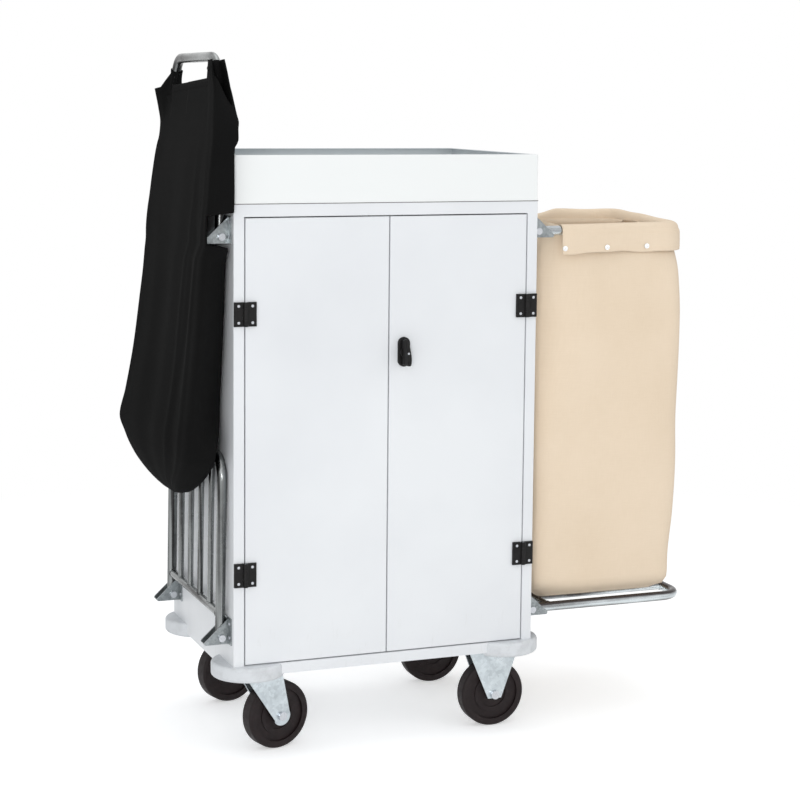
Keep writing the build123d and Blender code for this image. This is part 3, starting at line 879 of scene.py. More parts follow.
def outward_ways(loop: np.ndarray) -> tuple[np.ndarray, np.ndarray]:
    """Finds the way out of a closed outline at each of its points.

    Args:
        loop: The outline's points.

    Returns:
        The ways, and the distance between each point's neighbours.
    """
    tangent = np.roll(loop, -1, axis=0) - np.roll(loop, 1, axis=0)
    length = np.maximum(np.linalg.norm(tangent, axis=1), TINY)
    outward = np.column_stack([tangent[:, 1], -tangent[:, 0]]) / length[:, None]
    if (outward * (loop - loop.mean(axis=0))).sum() < 0:
        outward = -outward
    return outward, length


def side_ways(line: np.ndarray) -> np.ndarray:
    """Finds the way to the right of an open line at each of its points.

    Args:
        line: The line's points.

    Returns:
        The ways.
    """
    tangent = np.gradient(line, axis=0)
    aside = np.column_stack([tangent[:, 1], -tangent[:, 0]])
    return aside / np.linalg.norm(aside, axis=1)[:, None]


@dataclass(frozen=True)
class Wave:
    """A wave in cloth: how far it stands out, its radians per unit along two ways, and its start."""

    rise: float
    along: float
    across: float = 0.0
    start: float = 0.0

    def at(self, along: np.ndarray | float, across: np.ndarray | float = 0.0) -> np.ndarray:
        """Gives how far the wave stands out at places along its two ways."""
        return self.rise * np.sin(along * self.along + across * self.across + self.start)


@dataclass(frozen=True)
class FrameLine:
    """The centre line of an upper U-frame, flat: X runs out from the pivots and Y across, in millimetres."""

    leg: float = 187.5
    end: float = 150.0
    knee: float = 80.0
    reach: float = 350.0
    bend: float = 45.0
    bend_points: int = 13

    def points(self, start: float, step: float = 4.0) -> np.ndarray:
        """Follows the line from the front leg round to the rear leg.

        Args:
            start: Where on the legs the line starts and ends.
            step: The distance between points.

        Returns:
            The points.
        """
        half = [(start, -self.leg), (self.knee, -self.leg), (self.reach, -self.end)]
        corners = np.array(half + [(x, -y) for x, y in reversed(half)])
        share = np.linspace(0, 1, self.bend_points)[:, None]
        line = [corners[:1]]
        for before, corner, after in zip(corners, corners[1:], corners[2:]):
            inward = (before - corner) / np.linalg.norm(before - corner)
            outward = (after - corner) / np.linalg.norm(after - corner)
            total = math.acos(np.clip(-inward @ outward, -1, 1))
            reach = self.bend * math.tan(total / 2)
            bisector = (inward + outward) / np.linalg.norm(inward + outward)
            middle = corner + bisector * self.bend / math.cos(total / 2)
            first = corner + inward * reach - middle
            last = corner + outward * reach - middle
            arc = (np.sin((1 - share) * total) * first + np.sin(share * total) * last) / math.sin(total)
            line.append(middle + arc)
        line.append(corners[-1:])
        line = np.vstack(line)
        length = np.concatenate([[0], np.cumsum(np.linalg.norm(np.diff(line, axis=0), axis=1))])
        even = np.linspace(0, length[-1], int(length[-1] / step) + 1)
        return np.column_stack([np.interp(even, length, line[:, k]) for k in (0, 1)])


def turn_out(mesh: bpy.types.Mesh, inside: Vector) -> None:
    """Turns a mesh's faces away from a point inside it."""
    if sum(face.area * face.normal.dot(face.center - inside) for face in mesh.polygons) < 0:
        mesh.flip_normals()


def apply_modifiers(piece: bpy.types.Object) -> None:
    """Turns a piece and its modifiers into a plain mesh.

    Args:
        piece: The piece.
    """
    graph = bpy.context.evaluated_depsgraph_get()
    plain = bpy.data.meshes.new_from_object(piece.evaluated_get(graph), depsgraph=graph)
    piece.modifiers.clear()
    piece.data = plain


@dataclass
class Cloth:
    """Rows and columns of points, in metres, that become one cloth piece with a UV map in metres."""

    points: np.ndarray
    closed: bool
    capped: bool = False

    @property
    def middle(self) -> Vector:
        """The mean of the points."""
        return Vector(self.points.reshape(-1, 3).mean(axis=0))

    def faces(self) -> list[tuple[int, ...]]:
        """Lists the faces, row by row.

        Returns:
            The point numbers of each face.
        """
        rows, columns = self.points.shape[:2]
        faces = []
        for i in range(rows - 1):
            for j in range(columns if self.closed else columns - 1):
                k = (j + 1) % columns
                faces.append((i * columns + j, i * columns + k, (i + 1) * columns + k, (i + 1) * columns + j))
        if self.capped:
            faces.append(tuple((rows - 1) * columns + j for j in range(columns)))
        return faces

    def spread(self) -> tuple[np.ndarray, np.ndarray]:
        """Measures the columns along the middle row, and the rows along a column.

        Returns:
            The distance of each column and of each row, in metres.
        """
        ring = self.points[len(self.points) // 2]
        if self.closed:
            ring = np.vstack([ring, ring[:1]])
        across = np.concatenate([[0], np.cumsum(np.linalg.norm(np.diff(ring, axis=0), axis=1))])
        steps = np.linalg.norm(np.diff(self.points, axis=0), axis=2).mean(axis=1)
        return across, np.concatenate([[0], np.cumsum(steps)])

    def sheet(self, name: str) -> bpy.types.Mesh:
        """Makes the single layer with its UV map.

        Args:
            name: The mesh's name.

        Returns:
            The mesh.
        """
        mesh = bpy.data.meshes.new(name)
        mesh.from_pydata(self.points.reshape(-1, 3).tolist(), [], self.faces())
        across, down = self.spread()
        columns = self.points.shape[1]
        layer = mesh.uv_layers.new(name="cloth")
        for face in mesh.polygons:
            places = [divmod(mesh.loops[k].vertex_index, columns) for k in face.loop_indices]
            gap = max(j for _, j in places) - min(j for _, j in places)
            wraps = gap > columns // 2 and len(places) == 4
            for k, (i, j) in zip(face.loop_indices, places):
                layer.data[k].uv = (across[columns] if wraps and j == 0 else across[j], -down[i])
        return mesh

    def piece(self, name: str, material: bpy.types.Material, thickness: float,
              inside: Vector | None = None) -> bpy.types.Object:
        """Makes the finished piece with its thickness laid inwards.

        Args:
            name: The piece's name.
            material: Its cloth.
            thickness: The cloth's thickness.
            inside: A point on the piece's inner side, if it isn't the middle.

        Returns:
            The piece.
        """
        mesh = self.sheet(name)
        turn_out(mesh, self.middle if inside is None else inside)
        mesh.polygons.foreach_set("use_smooth", [True] * len(mesh.polygons))
        mesh.materials.append(material)
        piece = put_in_scene(name, mesh)
        wall = piece.modifiers.new("wall", "SOLIDIFY")
        wall.thickness = thickness
        wall.offset = -1.0
        wall.use_even_offset = False
        apply_modifiers(piece)
        report(piece)
        return piece


class PatternTree:
    """Draws a Geometry Nodes tree with named inputs, and turns what it makes into a plain mesh."""

    def __init__(self, name: str, **inputs: float) -> None:
        """Starts a tree with a geometry, a finish and named number inputs.

        Args:
            name: The tree's name.
            inputs: The default of each number input.
        """
        self.tree = bpy.data.node_groups.new(name, "GeometryNodeTree")
        self.identifiers: dict[str, str] = {}
        self.add_input("Geometry", "NodeSocketGeometry")
        self.tree.interface.new_socket(name="Geometry", in_out="OUTPUT", socket_type="NodeSocketGeometry")
        self.add_input("Finish", "NodeSocketMaterial")
        for key, value in inputs.items():
            self.add_input(key, "NodeSocketFloat").default_value = value
        self.start = self.tree.nodes.new("NodeGroupInput")
        self.end = self.tree.nodes.new("NodeGroupOutput")

    def add_input(self, name: str, kind: str) -> bpy.types.NodeTreeInterfaceSocket:
        """Adds a named input and keeps its identifier.

        Args:
            name: The input's name.
            kind: Its socket type.

        Returns:
            The input.
        """
        socket = self.tree.interface.new_socket(name=name, in_out="INPUT", socket_type=kind)
        self.identifiers[name] = socket.identifier
        return socket

    def given(self, name: str) -> Socket:
        """Gives the socket of a named input."""
        return self.start.outputs[name]

    def node(self, kind: str, inputs: dict[str | int, object], **settings: object) -> bpy.types.Node:
        """Adds a node.

        Args:
            kind: The node's type.
            inputs: Values or sockets by input name or number.
            settings: The node's own properties.

        Returns:
            The node.
        """
        made = self.tree.nodes.new(kind)
        for key, value in settings.items():
            setattr(made, key, value)
        for key, value in inputs.items():
            if isinstance(value, Socket):
                self.tree.links.new(value, made.inputs[key])
            else:
                made.inputs[key].default_value = value
        return made

    def scaled(self, name: str, factor: float) -> Socket:
        """Gives a named input times a factor."""
        return self.node("ShaderNodeMath", {0: self.given(name), 1: factor}, operation="MULTIPLY").outputs[0]

    def ratio(self, first: Socket, second: Socket) -> Socket:
        """Gives one number over another."""
        return self.node("ShaderNodeMath", {0: first, 1: second}, operation="DIVIDE").outputs[0]

    def vector(self, x: object, y: object, z: object) -> Socket:
        """Gives a vector of three numbers or sockets."""
        return self.node("ShaderNodeCombineXYZ", {0: x, 1: y, 2: z}).outputs[0]

    def shift(self, geometry: Socket, offset: object = UNTURNED, scale: object = (1, 1, 1)) -> Socket:
        """Moves and stretches a geometry."""
        sizes = {"Geometry": geometry, "Translation": offset, "Scale": scale}
        return self.node("GeometryNodeTransform", sizes).outputs[0]

    def joined(self, geometries: Sequence[Socket]) -> Socket:
        """Joins geometries.

        Args:
            geometries: The geometries, in order.

        Returns:
            The joined geometry.
        """
        made = self.node("GeometryNodeJoinGeometry", {})
        for geometry in reversed(geometries):
            self.tree.links.new(geometry, made.inputs[0])
        return made.outputs[0]

    def facing(self) -> tuple[Socket, Socket]:
        """Turns the given mesh into points that face their own way.

        Returns:
            The points, and the rotation that turns a shape's Z axis to their way.
        """
        points = self.node("GeometryNodeMeshToPoints", {"Mesh": self.given("Geometry")})
        way = self.node("GeometryNodeInputNamedAttribute", {"Name": "way"}, data_type="FLOAT_VECTOR")
        return points.outputs[0], self.turned(way.outputs[0])

    def turned(self, way: Socket) -> Socket:
        """Gives the rotation that turns a shape's Z axis to a way."""
        return self.node("FunctionNodeAlignRotationToVector", {"Vector": way}, axis="Z").outputs[0]

    def on_points(self, shape: Socket, points: Socket, rotation: Socket) -> None:
        """Sets a shape on points and closes the tree."""
        places = {"Points": points, "Instance": shape, "Rotation": rotation}
        self.close(self.node("GeometryNodeInstanceOnPoints", places).outputs[0])

    def close(self, geometry: Socket) -> None:
        """Closes the tree with real meshes and the finish.

        Args:
            geometry: What the tree makes.
        """
        real = self.node("GeometryNodeRealizeInstances", {"Geometry": geometry}).outputs[0]
        flat = self.node("GeometryNodeSetShadeSmooth", {"Geometry": real, "Shade Smooth": False}).outputs[0]
        done = self.node("GeometryNodeSetMaterial", {"Geometry": flat, "Material": self.given("Finish")})
        self.tree.links.new(done.outputs[0], self.end.inputs[0])

    def bake(self, name: str, places: np.ndarray, finish: bpy.types.Material, slot: str, body: str,
             ways: Sequence[float] | np.ndarray = UNTURNED, line: bool = False, **sizes: float) -> None:
        """Runs the tree on places and leaves a plain mesh that rides on a body.

        Args:
            name: The piece's name.
            places: The points, in metres.
            finish: The material.
            slot: The record's slot that the material stands for; not used.
            body: The body it rides on.
            ways: The way each point faces, or one way for all.
            line: True to join the points with edges, one after the other.
            sizes: The tree's named inputs, in millimetres.
        """
        mesh = bpy.data.meshes.new(name)
        edges = [(i, i + 1) for i in range(len(places) - 1)] if line else []
        mesh.from_pydata(np.asarray(places, float).tolist(), edges, [])
        attribute = mesh.attributes.new("way", "FLOAT_VECTOR", "POINT")
        facing = np.broadcast_to(np.asarray(ways, np.float32), (len(places), 3))
        attribute.data.foreach_set("vector", facing.ravel())
        piece = put_in_scene(name, mesh)
        modifier = piece.modifiers.new("pattern", "NODES")
        modifier.node_group = self.tree
        modifier[self.identifiers["Finish"]] = finish
        for key, value in sizes.items():
            modifier[self.identifiers[key]] = value * MM
        apply_modifiers(piece)
        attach(piece, body)
        report(piece)


class HeadShape(Enum):
    """The kinds of fastener head, by the corners of their rim."""

    ROUND = 20
    HEXAGON = 6


class ScrewPattern(PatternTree):
    """Screw or bolt heads: a rim, a crown and a cross drive, facing along each point's way."""

    CROWN_WIDTH, CROWN_RISE, CROWN_SEAT = 0.86, 0.66, 0.42
    DRIVE_LENGTH, DRIVE_WIDTH, DRIVE_DEPTH, DRIVE_SEAT = 1.1, 0.22, 0.5, 0.8

    def __init__(self, shape: HeadShape) -> None:
        """Builds the tree, with the parts as shares of the head's radius and height.

        Args:
            shape: The kind of head.
        """
        super().__init__(f"{shape.name.lower()}_heads", Radius=0.003, Height=0.0015)
        radius, height = self.given("Radius"), self.given("Height")
        rim = self.node("GeometryNodeMeshCylinder",
                        {"Vertices": shape.value, "Radius": radius, "Depth": height})
        ball = self.node("GeometryNodeMeshUVSphere",
                         {"Segments": 18, "Rings": 8, "Radius": self.scaled("Radius", self.CROWN_WIDTH)})
        seat = self.vector(0, 0, self.scaled("Height", self.CROWN_SEAT))
        flat = self.vector(1, 1, self.ratio(self.scaled("Height", self.CROWN_RISE), radius))
        parts = [rim.outputs[0], self.shift(ball.outputs[0], seat, flat)]
        if shape is HeadShape.ROUND:
            parts += self.drive()
        self.on_points(self.joined(parts), *self.facing())

    def drive(self) -> list[Socket]:
        """Makes the two bars of the cross drive.

        Returns:
            The bars.
        """
        top = self.vector(0, 0, self.scaled("Height", self.DRIVE_SEAT))
        depth = self.scaled("Height", self.DRIVE_DEPTH)
        bars = []
        for shares in ((self.DRIVE_LENGTH, self.DRIVE_WIDTH), (self.DRIVE_WIDTH, self.DRIVE_LENGTH)):
            size = self.vector(*(self.scaled("Radius", share) for share in shares), depth)
            bars.append(self.shift(self.node("GeometryNodeMeshCube", {"Size": size}).outputs[0], top))
        return bars


class PadPattern(PatternTree):
    """Flat pads with rounded corners, raised along each point's way."""

    def __init__(self) -> None:
        """Builds the tree."""
        super().__init__("raised_pads", Width=0.012, Length=0.016, Corner=0.002, Height=0.001)
        outline = self.node("GeometryNodeCurvePrimitiveQuadrilateral",
                            {"Width": self.given("Width"), "Height": self.given("Length")})
        soft = self.node("GeometryNodeFilletCurve",
                         {"Curve": outline.outputs[0], "Radius": self.given("Corner"), "Count": 4,
                          "Limit Radius": True}, mode="POLY")
        face = self.node("GeometryNodeFillCurve", {"Curve": soft.outputs[0]}, mode="NGONS")
        raised = self.node("GeometryNodeExtrudeMesh", {"Mesh": face.outputs[0], "Offset": (0, 0, 1),
                                                       "Offset Scale": self.given("Height")})
        self.on_points(raised.outputs[0], *self.facing())


class StitchPattern(PatternTree):
    """Stitches at an even pitch along a line."""

    def __init__(self) -> None:
        """Builds the tree."""
        super().__init__("stitches", Pitch=0.004, Length=0.0026, Thread=0.0005)
        thread = self.given("Thread")
        bead = self.node("GeometryNodeMeshUVSphere", {"Segments": 6, "Rings": 4, "Radius": thread})
        longer = self.ratio(self.scaled("Length", 0.5), thread)
        stitch = self.shift(bead.outputs[0], scale=self.vector(1, 1, longer))
        line = self.node("GeometryNodeMeshToCurve", {"Mesh": self.given("Geometry")})
        points = self.node("GeometryNodeCurveToPoints",
                           {"Curve": line.outputs[0], "Length": self.given("Pitch")}, mode="LENGTH")
        self.on_points(stitch, points.outputs["Points"], self.turned(points.outputs["Tangent"]))


class WeldPattern(PatternTree):
    """Weld beads: uneven rings round the ends of bars."""

    SEED, RIPPLES, RIPPLE_GAIN = 3.0, 420.0, 3.0

    def __init__(self) -> None:
        """Builds the tree."""
        super().__init__("weld_beads", Radius=0.0066, Bead=0.0014, Unevenness=0.0007)
        circle = "GeometryNodeCurvePrimitiveCircle"
        ring = self.node(circle, {"Resolution": 28, "Radius": self.given("Radius")}).outputs[0]
        profile = self.node(circle, {"Resolution": 8, "Radius": self.given("Bead")}).outputs[0]
        bead = self.node("GeometryNodeCurveToMesh", {"Curve": ring, "Profile Curve": profile})
        ripple = self.node("ShaderNodeTexNoise", {"Scale": self.RIPPLES, "Detail": 1.0, "W": self.SEED},
                           noise_dimensions="4D")
        centred = self.node("ShaderNodeVectorMath", {0: ripple.outputs["Color"], 1: (0.5, 0.5, 0.5)},
                            operation="SUBTRACT")
        gain = self.scaled("Unevenness", self.RIPPLE_GAIN)
        push = self.node("ShaderNodeVectorMath", {0: centred.outputs[0], "Scale": gain}, operation="SCALE")
        uneven = self.node("GeometryNodeSetPosition",
                           {"Geometry": bead.outputs[0], "Offset": push.outputs[0]})
        self.on_points(uneven.outputs[0], *self.facing())


class SeamPattern(PatternTree):
    """A square bead that follows a line."""

    def __init__(self) -> None:
        """Builds the tree."""
        super().__init__("seams", Width=0.0013)
        line = self.node("GeometryNodeMeshToCurve", {"Mesh": self.given("Geometry")})
        square = self.node("GeometryNodeCurvePrimitiveQuadrilateral",
                           {"Width": self.given("Width"), "Height": self.given("Width")})
        bead = self.node("GeometryNodeCurveToMesh",
                         {"Curve": line.outputs[0], "Profile Curve": square.outputs[0], "Fill Caps": True})
        self.close(bead.outputs[0])


@dataclass(frozen=True)
class CasterPlate:
    """A caster plate's middle along the cart, and half the spacing of its bolts along and across."""

    x: float
    along: float
    across: float


@dataclass
class Fittings:
    """The cart's small fittings, in millimetres from the cabinet's middle on the floor."""

    plan: CartPlan
    hinge_x: float = 301.75
    hinge_heights: Range = (380.0, 900.0)
    hinge_face: float = -235.0
    hinge_screw_reach: float = 14.2
    hinge_screw_rise: float = 16.5
    hinge_screw_seat: float = 0.1
    seam_height: float = 1115.0
    seam_end: float = 325.0
    seam_front: float = -230.0
    seam_rear: float = 229.0
    bracket_x: float = 327.5
    bracket_y: float = 187.5
    bracket_heights: Range = (248.0, 1050.0)
    ear_reach: float = 22.0
    ear_screws: Range = (1.5, 30.0)
    caster_y: float = 170.0
    caster_plates: tuple[CasterPlate, ...] = (CasterPlate(-253.0, 40.0, 31.0), CasterPlate(259.0, 28.0, 34.5))
    plate_under: float = 169.0
    platform_pivot: float = 341.0
    platform_height: float = 248.0
    platform_reach: float = 362.0
    platform_lean: float = 0.01547
    cross_bar: float = 46.0
    cross_bar_end: float = 177.2
    cross_weld: float = 8.5
    bar_ys: tuple[float, ...] = (-112.5, -37.5, 37.5, 112.5)
    bar_near_gap: float = 7.6
    bar_far_gap: float = 10.2
    bar_weld: float = 6.5

    def at(self, rows: Iterable[Sequence[float]]) -> np.ndarray:
        """Moves points from the cabinet's middle, in millimetres, to the cart's frame in metres."""
        return np.array(list(rows), float) * MM + np.array(self.plan.middle)

    def hinges(self, finishes: Finishes) -> None:
        """Sets the screws, their rings and the raised pads on the hinge leaves.

        Args:
            finishes: The cart's materials.
        """
        screws, pads = ScrewPattern(HeadShape.ROUND), PadPattern()
        seat = np.array(TO_FRONT) * self.hinge_screw_seat * MM
        rises = (-self.hinge_screw_rise, self.hinge_screw_rise)
        for side, sign in ((Side.LEFT, -1), (Side.RIGHT, 1)):
            for leaf, way, body in (("fixed", 1, "cart"), ("moving", -1, f"door_{side.value}")):
                x = sign * (self.hinge_x + way * self.hinge_screw_reach)
                middles = self.at((x, self.hinge_face, z) for z in self.hinge_heights)
                ends = self.at((x, self.hinge_face, z + rise) for z in self.hinge_heights for rise in rises)
                name = f"hinge_{leaf}_{side.value}"
                pads.bake(f"{name}_rings", ends, finishes.black, "hinge_black", body, TO_FRONT,
                          Width=10.4, Length=10.4, Corner=5.0, Height=0.3)
                screws.bake(f"{name}_screws", ends + seat, finishes.steel, "bolt_steel", body, TO_FRONT,
                            Radius=2.8, Height=0.6)
                pads.bake(f"{name}_pads", middles, finishes.black, "hinge_black", body, TO_FRONT,
                          Width=10.5, Length=16.5, Corner=2.2, Height=0.5)

    def seam(self, finishes: Finishes) -> None:
        """Draws the dark seam between the tray and the top board, round the front and both sides.

        Args:
            finishes: The cart's materials.
        """
        right = [(self.seam_end, y, self.seam_height) for y in (self.seam_front, self.seam_rear)]
        left = [(-x, y, z) for x, y, z in reversed(right)]
        SeamPattern().bake("tray_seam", self.at(left + right), finishes.seam, "hinge_black", "cart",
                           line=True)

    def brackets(self, finishes: Finishes) -> None:
        """Sets the screws in the ears of the folding brackets.

        Args:
            finishes: The cart's materials.
        """
        ys, reaches = (-self.bracket_y, self.bracket_y), (-self.ear_reach, self.ear_reach)
        ears = list(product((-1, 1), ys, self.bracket_heights, reaches, self.ear_screws))
        places = [(sign * self.bracket_x, y + reach, pivot + rise) for sign, y, pivot, reach, rise in ears]
        ways = np.array([(sign, 0, 0) for sign, *_ in ears])
        screws = ScrewPattern(HeadShape.ROUND)
        screws.bake("bracket_screws", self.at(places), finishes.steel, "bolt_steel", "cart", ways,
                    Radius=4.2, Height=2.0)

    def casters(self, finishes: Finishes) -> None:
        """Sets the bolts under the caster plates.

        Args:
            finishes: The cart's materials.
        """
        places = []
        for plate in self.caster_plates:
            for y, a, b in product((-self.caster_y, self.caster_y), (-1, 1), (-1, 1)):
                places.append((plate.x + a * plate.along, y + b * plate.across, self.plate_under))
        bolts = ScrewPattern(HeadShape.HEXAGON)
        bolts.bake("caster_bolts", self.at(places), finishes.steel, "bolt_steel", "cart", DOWN,
                   Radius=5.0, Height=7.0)

    def welds(self, finishes: Finishes) -> None:
        """Lays the weld beads where the platforms' bars meet their tubes.

        Args:
            finishes: The cart's materials.
        """
        beads = WeldPattern()
        bar_ends = (self.platform_reach - self.bar_far_gap, self.cross_bar + self.bar_near_gap)
        cross = [(self.cross_bar, y) for y in (-self.cross_bar_end, self.cross_bar_end)]
        bars = [(x, y) for y in self.bar_ys for x in bar_ends]
        for side in Side:
            body = f"platform_{side.value}"
            lying = side is Side.RIGHT
            along = (1, 0, 0) if lying else (0, 0, 1)
            for kind, spots, way, radius in (("cross", cross, (0, 1, 0), self.cross_weld),
                                             ("bar", bars, along, self.bar_weld)):
                if lying:
                    places = [(self.platform_pivot + x, y, self.platform_height) for x, y in spots]
                else:
                    places = [(x * self.platform_lean - self.platform_pivot, y, self.platform_height + x)
                              for x, y in spots]
                beads.bake(f"{body}_{kind}_welds", self.at(places), finishes.for_node(body, "tube_steel"),
                           "tube_steel", body, way, Radius=radius)

    def build(self, finishes: Finishes) -> None:
        """Makes all the fittings.

        Args:
            finishes: The cart's materials.
        """
        self.hinges(finishes)
        self.seam(finishes)
        self.brackets(finishes)
        self.casters(finishes)
        self.welds(finishes)


@dataclass
class LatchGrip:
    """The latch lever's finger grip: a fin that stands out further towards its lower end, in millimetres."""

    width: float = 10.5
    edge_share: float = 0.7
    taper: float = 0.25
    taper_power: int = 6
    root: float = 1.5
    inset: float = 1.5
    stand: tuple[Range, ...] = ((0.0, 2.0), (0.12, 4.0), (0.35, 11.0), (0.58, 17.0), (0.8, 19.0),
                                (0.94, 18.0), (1.0, 15.0))
    root_rounding: float = 1.2
    edge_rounding: float = 3.0
    side_points: tuple[int, ...] = (4, 8, 4, 8)
    corner_points: int = 5
    rows: int = 25
    rivet_share: float = 0.5
    rivet_aside: float = 2.2
    rivet_stand: float = 0.2

    def levels(self) -> np.ndarray:
        """Draws the fin's level outlines over the CAD lever.

        Returns:
            The points, in rows from the top.
        """
        low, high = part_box("latch_lever")
        middle = (low.x + high.x) / 2
        top, drop = high.z - self.inset * MM, high.z - low.z - 2 * self.inset * MM
        near = low.y + self.root * MM
        rounding = np.repeat((self.root_rounding, self.edge_rounding), 2) * MM
        levels = []
        for share in np.linspace(0, 1, self.rows):
            far = low.y - float(np.interp(share, *zip(*self.stand))) * MM
            half = self.width * MM / 2 * (1 - self.taper * abs(2 * share - 1) ** self.taper_power)
            edge = half * self.edge_share
            corners = np.array([(middle - half, near), (middle + half, near), (middle + edge, far),
                                (middle - edge, far)])
            loop = soft_loop(corners, rounding, self.side_points, self.corner_points)
            levels.append(np.column_stack([loop, np.full(len(loop), top - drop * share)]))
        return np.array(levels)

    def build(self, finishes: Finishes) -> None:
        """Lofts the fin and sets its light rivet.

        Args:
            finishes: The cart's materials.
        """
        points = self.levels()
        fin = Cloth(points, closed=True, capped=True)
        mesh = bpy.data.meshes.new("latch_grip")
        top_cap = tuple(reversed(range(points.shape[1])))
        mesh.from_pydata(points.reshape(-1, 3).tolist(), [], fin.faces() + [top_cap])
        mesh.materials.append(finishes.black)
        turn_out(mesh, fin.middle)
        mesh.polygons.foreach_set("use_smooth", [len(face.vertices) == 4 for face in mesh.polygons])
        grip = put_in_scene("latch_grip", mesh)
        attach(grip, "latch")
        report(grip)
        row = points[round(self.rivet_share * (self.rows - 1))]
        middle = (row[:, 0].min() + row[:, 0].max()) / 2
        place = (middle - self.rivet_aside * MM, row[:, 1].min() - self.rivet_stand * MM, row[0, 2])
        rivet = ScrewPattern(HeadShape.ROUND)
        rivet.bake("latch_rivet", np.array([place]), finishes.steel, "bolt_steel", "latch", TO_FRONT,
                   Radius=2.2, Height=1.2)


@dataclass
class HungBag:
    """What both bags share: the cart's plan, the frame they hang on and their cloth, in millimetres."""

    plan: CartPlan
    line: FrameLine = field(default_factory=FrameLine)
    pivot_offset: float = 16.0
    pivot_height: float = 1050.0
    hem_start: float = 56.0
    cloth: float = 2.0

    def origin(self) -> np.ndarray:
        """Gives the place that the bag's sizes are measured from, in metres."""
        return np.array(self.plan.middle)

    def place(self, points: np.ndarray) -> np.ndarray:
        """Moves points from the bag's origin, in millimetres, to the cart's frame in metres."""
        return points * MM + self.origin()


@dataclass
class OpenBag(HungBag):
    """The beige bag that hangs open from the right frame and stands on its platform, in millimetres.

    Spans along the hem are shares of its length from the front leg. A reach gives where a lift starts and
    where it is full. The core is a point inside the bag.
    """

    bottom: float = 264.0
    top_rise: float = 2.0
    rows: int = 76
    row_crowding: float = 0.92
    side_points: tuple[int, ...] = (40, 40, 40, 40)
    slack_below: Range = (60.0, 300.0)
    foot_height: float = 170.0
    foot_slack: float = 0.5
    upright_waves: tuple[Wave, ...] = (Wave(1.2, 1 / 41, 0.05 / 41, 0.6), Wave(0.9, 1 / 23, -0.07 / 23, 2.1))
    slanted_waves: tuple[Wave, ...] = (Wave(0.9, 1 / 70, 1 / 95), Wave(0.5, -1 / 37, 1 / 41))
    tuck: float = 1.6
    rim_lift: float = 20.0
    rim_lift_reach: Range = (110.0, 30.0)
    rim_lift_depth: float = 40.0
    low_height: float = 260.0
    near_lift: float = 12.0
    near_lift_reach: Range = (150.0, 20.0)
    front_lift: float = 7.0
    front_lift_reach: Range = (-120.0, -170.0)
    floor_sag: float = 4.0
    floor_step: float = 1.2
    floor_rings: int = 12
    floor_shares: Range = (0.965, 0.04)
    floor_turn: Range = (1.0, 0.86)
    bar_pitch: float = 75.0
    hem_cloth: float = 1.6
    hem_out: float = 13.2
    hem_rise: float = 12.9
    hem_drop: float = 48.0
    hem_turn_points: int = 15
    hem_drop_waves: tuple[Wave, ...] = (Wave(1.6, 27.0, start=1.0), Wave(0.9, 63.0))
    slack_span: Span = (0.3, 0.66, 0.81, 0.868)
    slack_rise: float = 10.5
    slack_wave: Wave = Wave(0.9, 41.0)
    slit_span: Span = (0.47, 0.5, 0.57, 0.6)
    slit_rise: float = 14.0
    inner_low: float = -9.0
    inner_out: float = -14.2
    inner_lean: float = 0.8
    inner_points: int = 5
    loose_span: Span = (0.22, 0.33, 0.62, 0.76)
    loose_out: float = 9.5
    loose_share: float = 0.6
    loose_angle: float = 1.6
    loose_growth: float = 2.0
    flare_wave: Wave = Wave(1.2, 38.0, 3.0)
    flare_lean: float = 0.6
    stitch_rows: tuple[tuple[str, int], ...] = (("lower", -3), ("upper", -13))
    stud_size: float = 16.0
    core: Place = (196.0, 0.0, 850.0)

    def origin(self) -> np.ndarray:
        """Gives the foot of the cabinet's right side, in metres."""
        return np.array([self.plan.right, self.plan.middle.y, 0.0])

    def body_rows(self) -> list[tuple[float, ...]]:
        """Lists the body's levels.

        The near side leaves room for the platform when it is folded up, and the near corners for the brackets
        when the frame is.

        Returns:
            Each level's height, near and far ends, near and far half widths, and far and near rounding.
        """
        level = self.pivot_height
        return [
            (self.bottom, 32, 353, 169, 168, 26, 26),
            (self.bottom + 7, 30, 358, 177, 176, 30, 30),
            (self.bottom + 20, 29, 361.5, 180.5, 179.5, 34, 36),
            (level - 714, 28, 364, 182, 181, 38, 40),
            (level - 620, 27, 373, 186, 185, 40, 42),
            (level - 500, 26, 378, 188, 187, 42, 44),
            (level - 400, 24, 375, 190, 189, 42, 50),
            (level - 190, 16, 375, 192, 191, 42, 112),
            (level - 100, 17, 374, 191, 182, 44, 118),
            (level - 52, 24, 372, 189, 166, 46, 112),
            (level - 30, 40, 364, 184, 152, 46, 80),
            (level - 15, 60, 354.5, 175.5, 138, 40, 44),
            (level + self.top_rise, 62, 354.5, 175.5, 138, 40, 40),
        ]

    def loop(self, row: np.ndarray) -> np.ndarray:
        """Draws one level outline of the body.

        Args:
            row: The level's values, without its height.

        Returns:
            The outline's points.
        """
        near, far, half_near, half_far, rounding, near_rounding = row
        corners = np.array([(near, -half_near), (far, -half_far), (far, half_far), (near, half_near)])
        return soft_loop(corners, [near_rounding, rounding, rounding, near_rounding], self.side_points)

    def folds(self, height: np.ndarray, around: np.ndarray) -> np.ndarray:
        """Gives how far the cloth stands out in its slack folds.

        Args:
            height: The height of each point.
            around: The distance of each point round the bag.

        Returns:
            The distance outwards.
        """
        hang, full = self.slack_below
        slack = soft_step(self.pivot_height - hang, self.pivot_height - full, height)
        above = soft_step(self.bottom, self.bottom + self.foot_height, height)
        slack = slack * (self.foot_slack + (1 - self.foot_slack) * above)
        stand = sum(wave.at(around, height - self.bottom) for wave in self.upright_waves)
        stand = stand + sum(wave.at(around, height) for wave in self.slanted_waves)
        return slack * (stand - self.tuck)

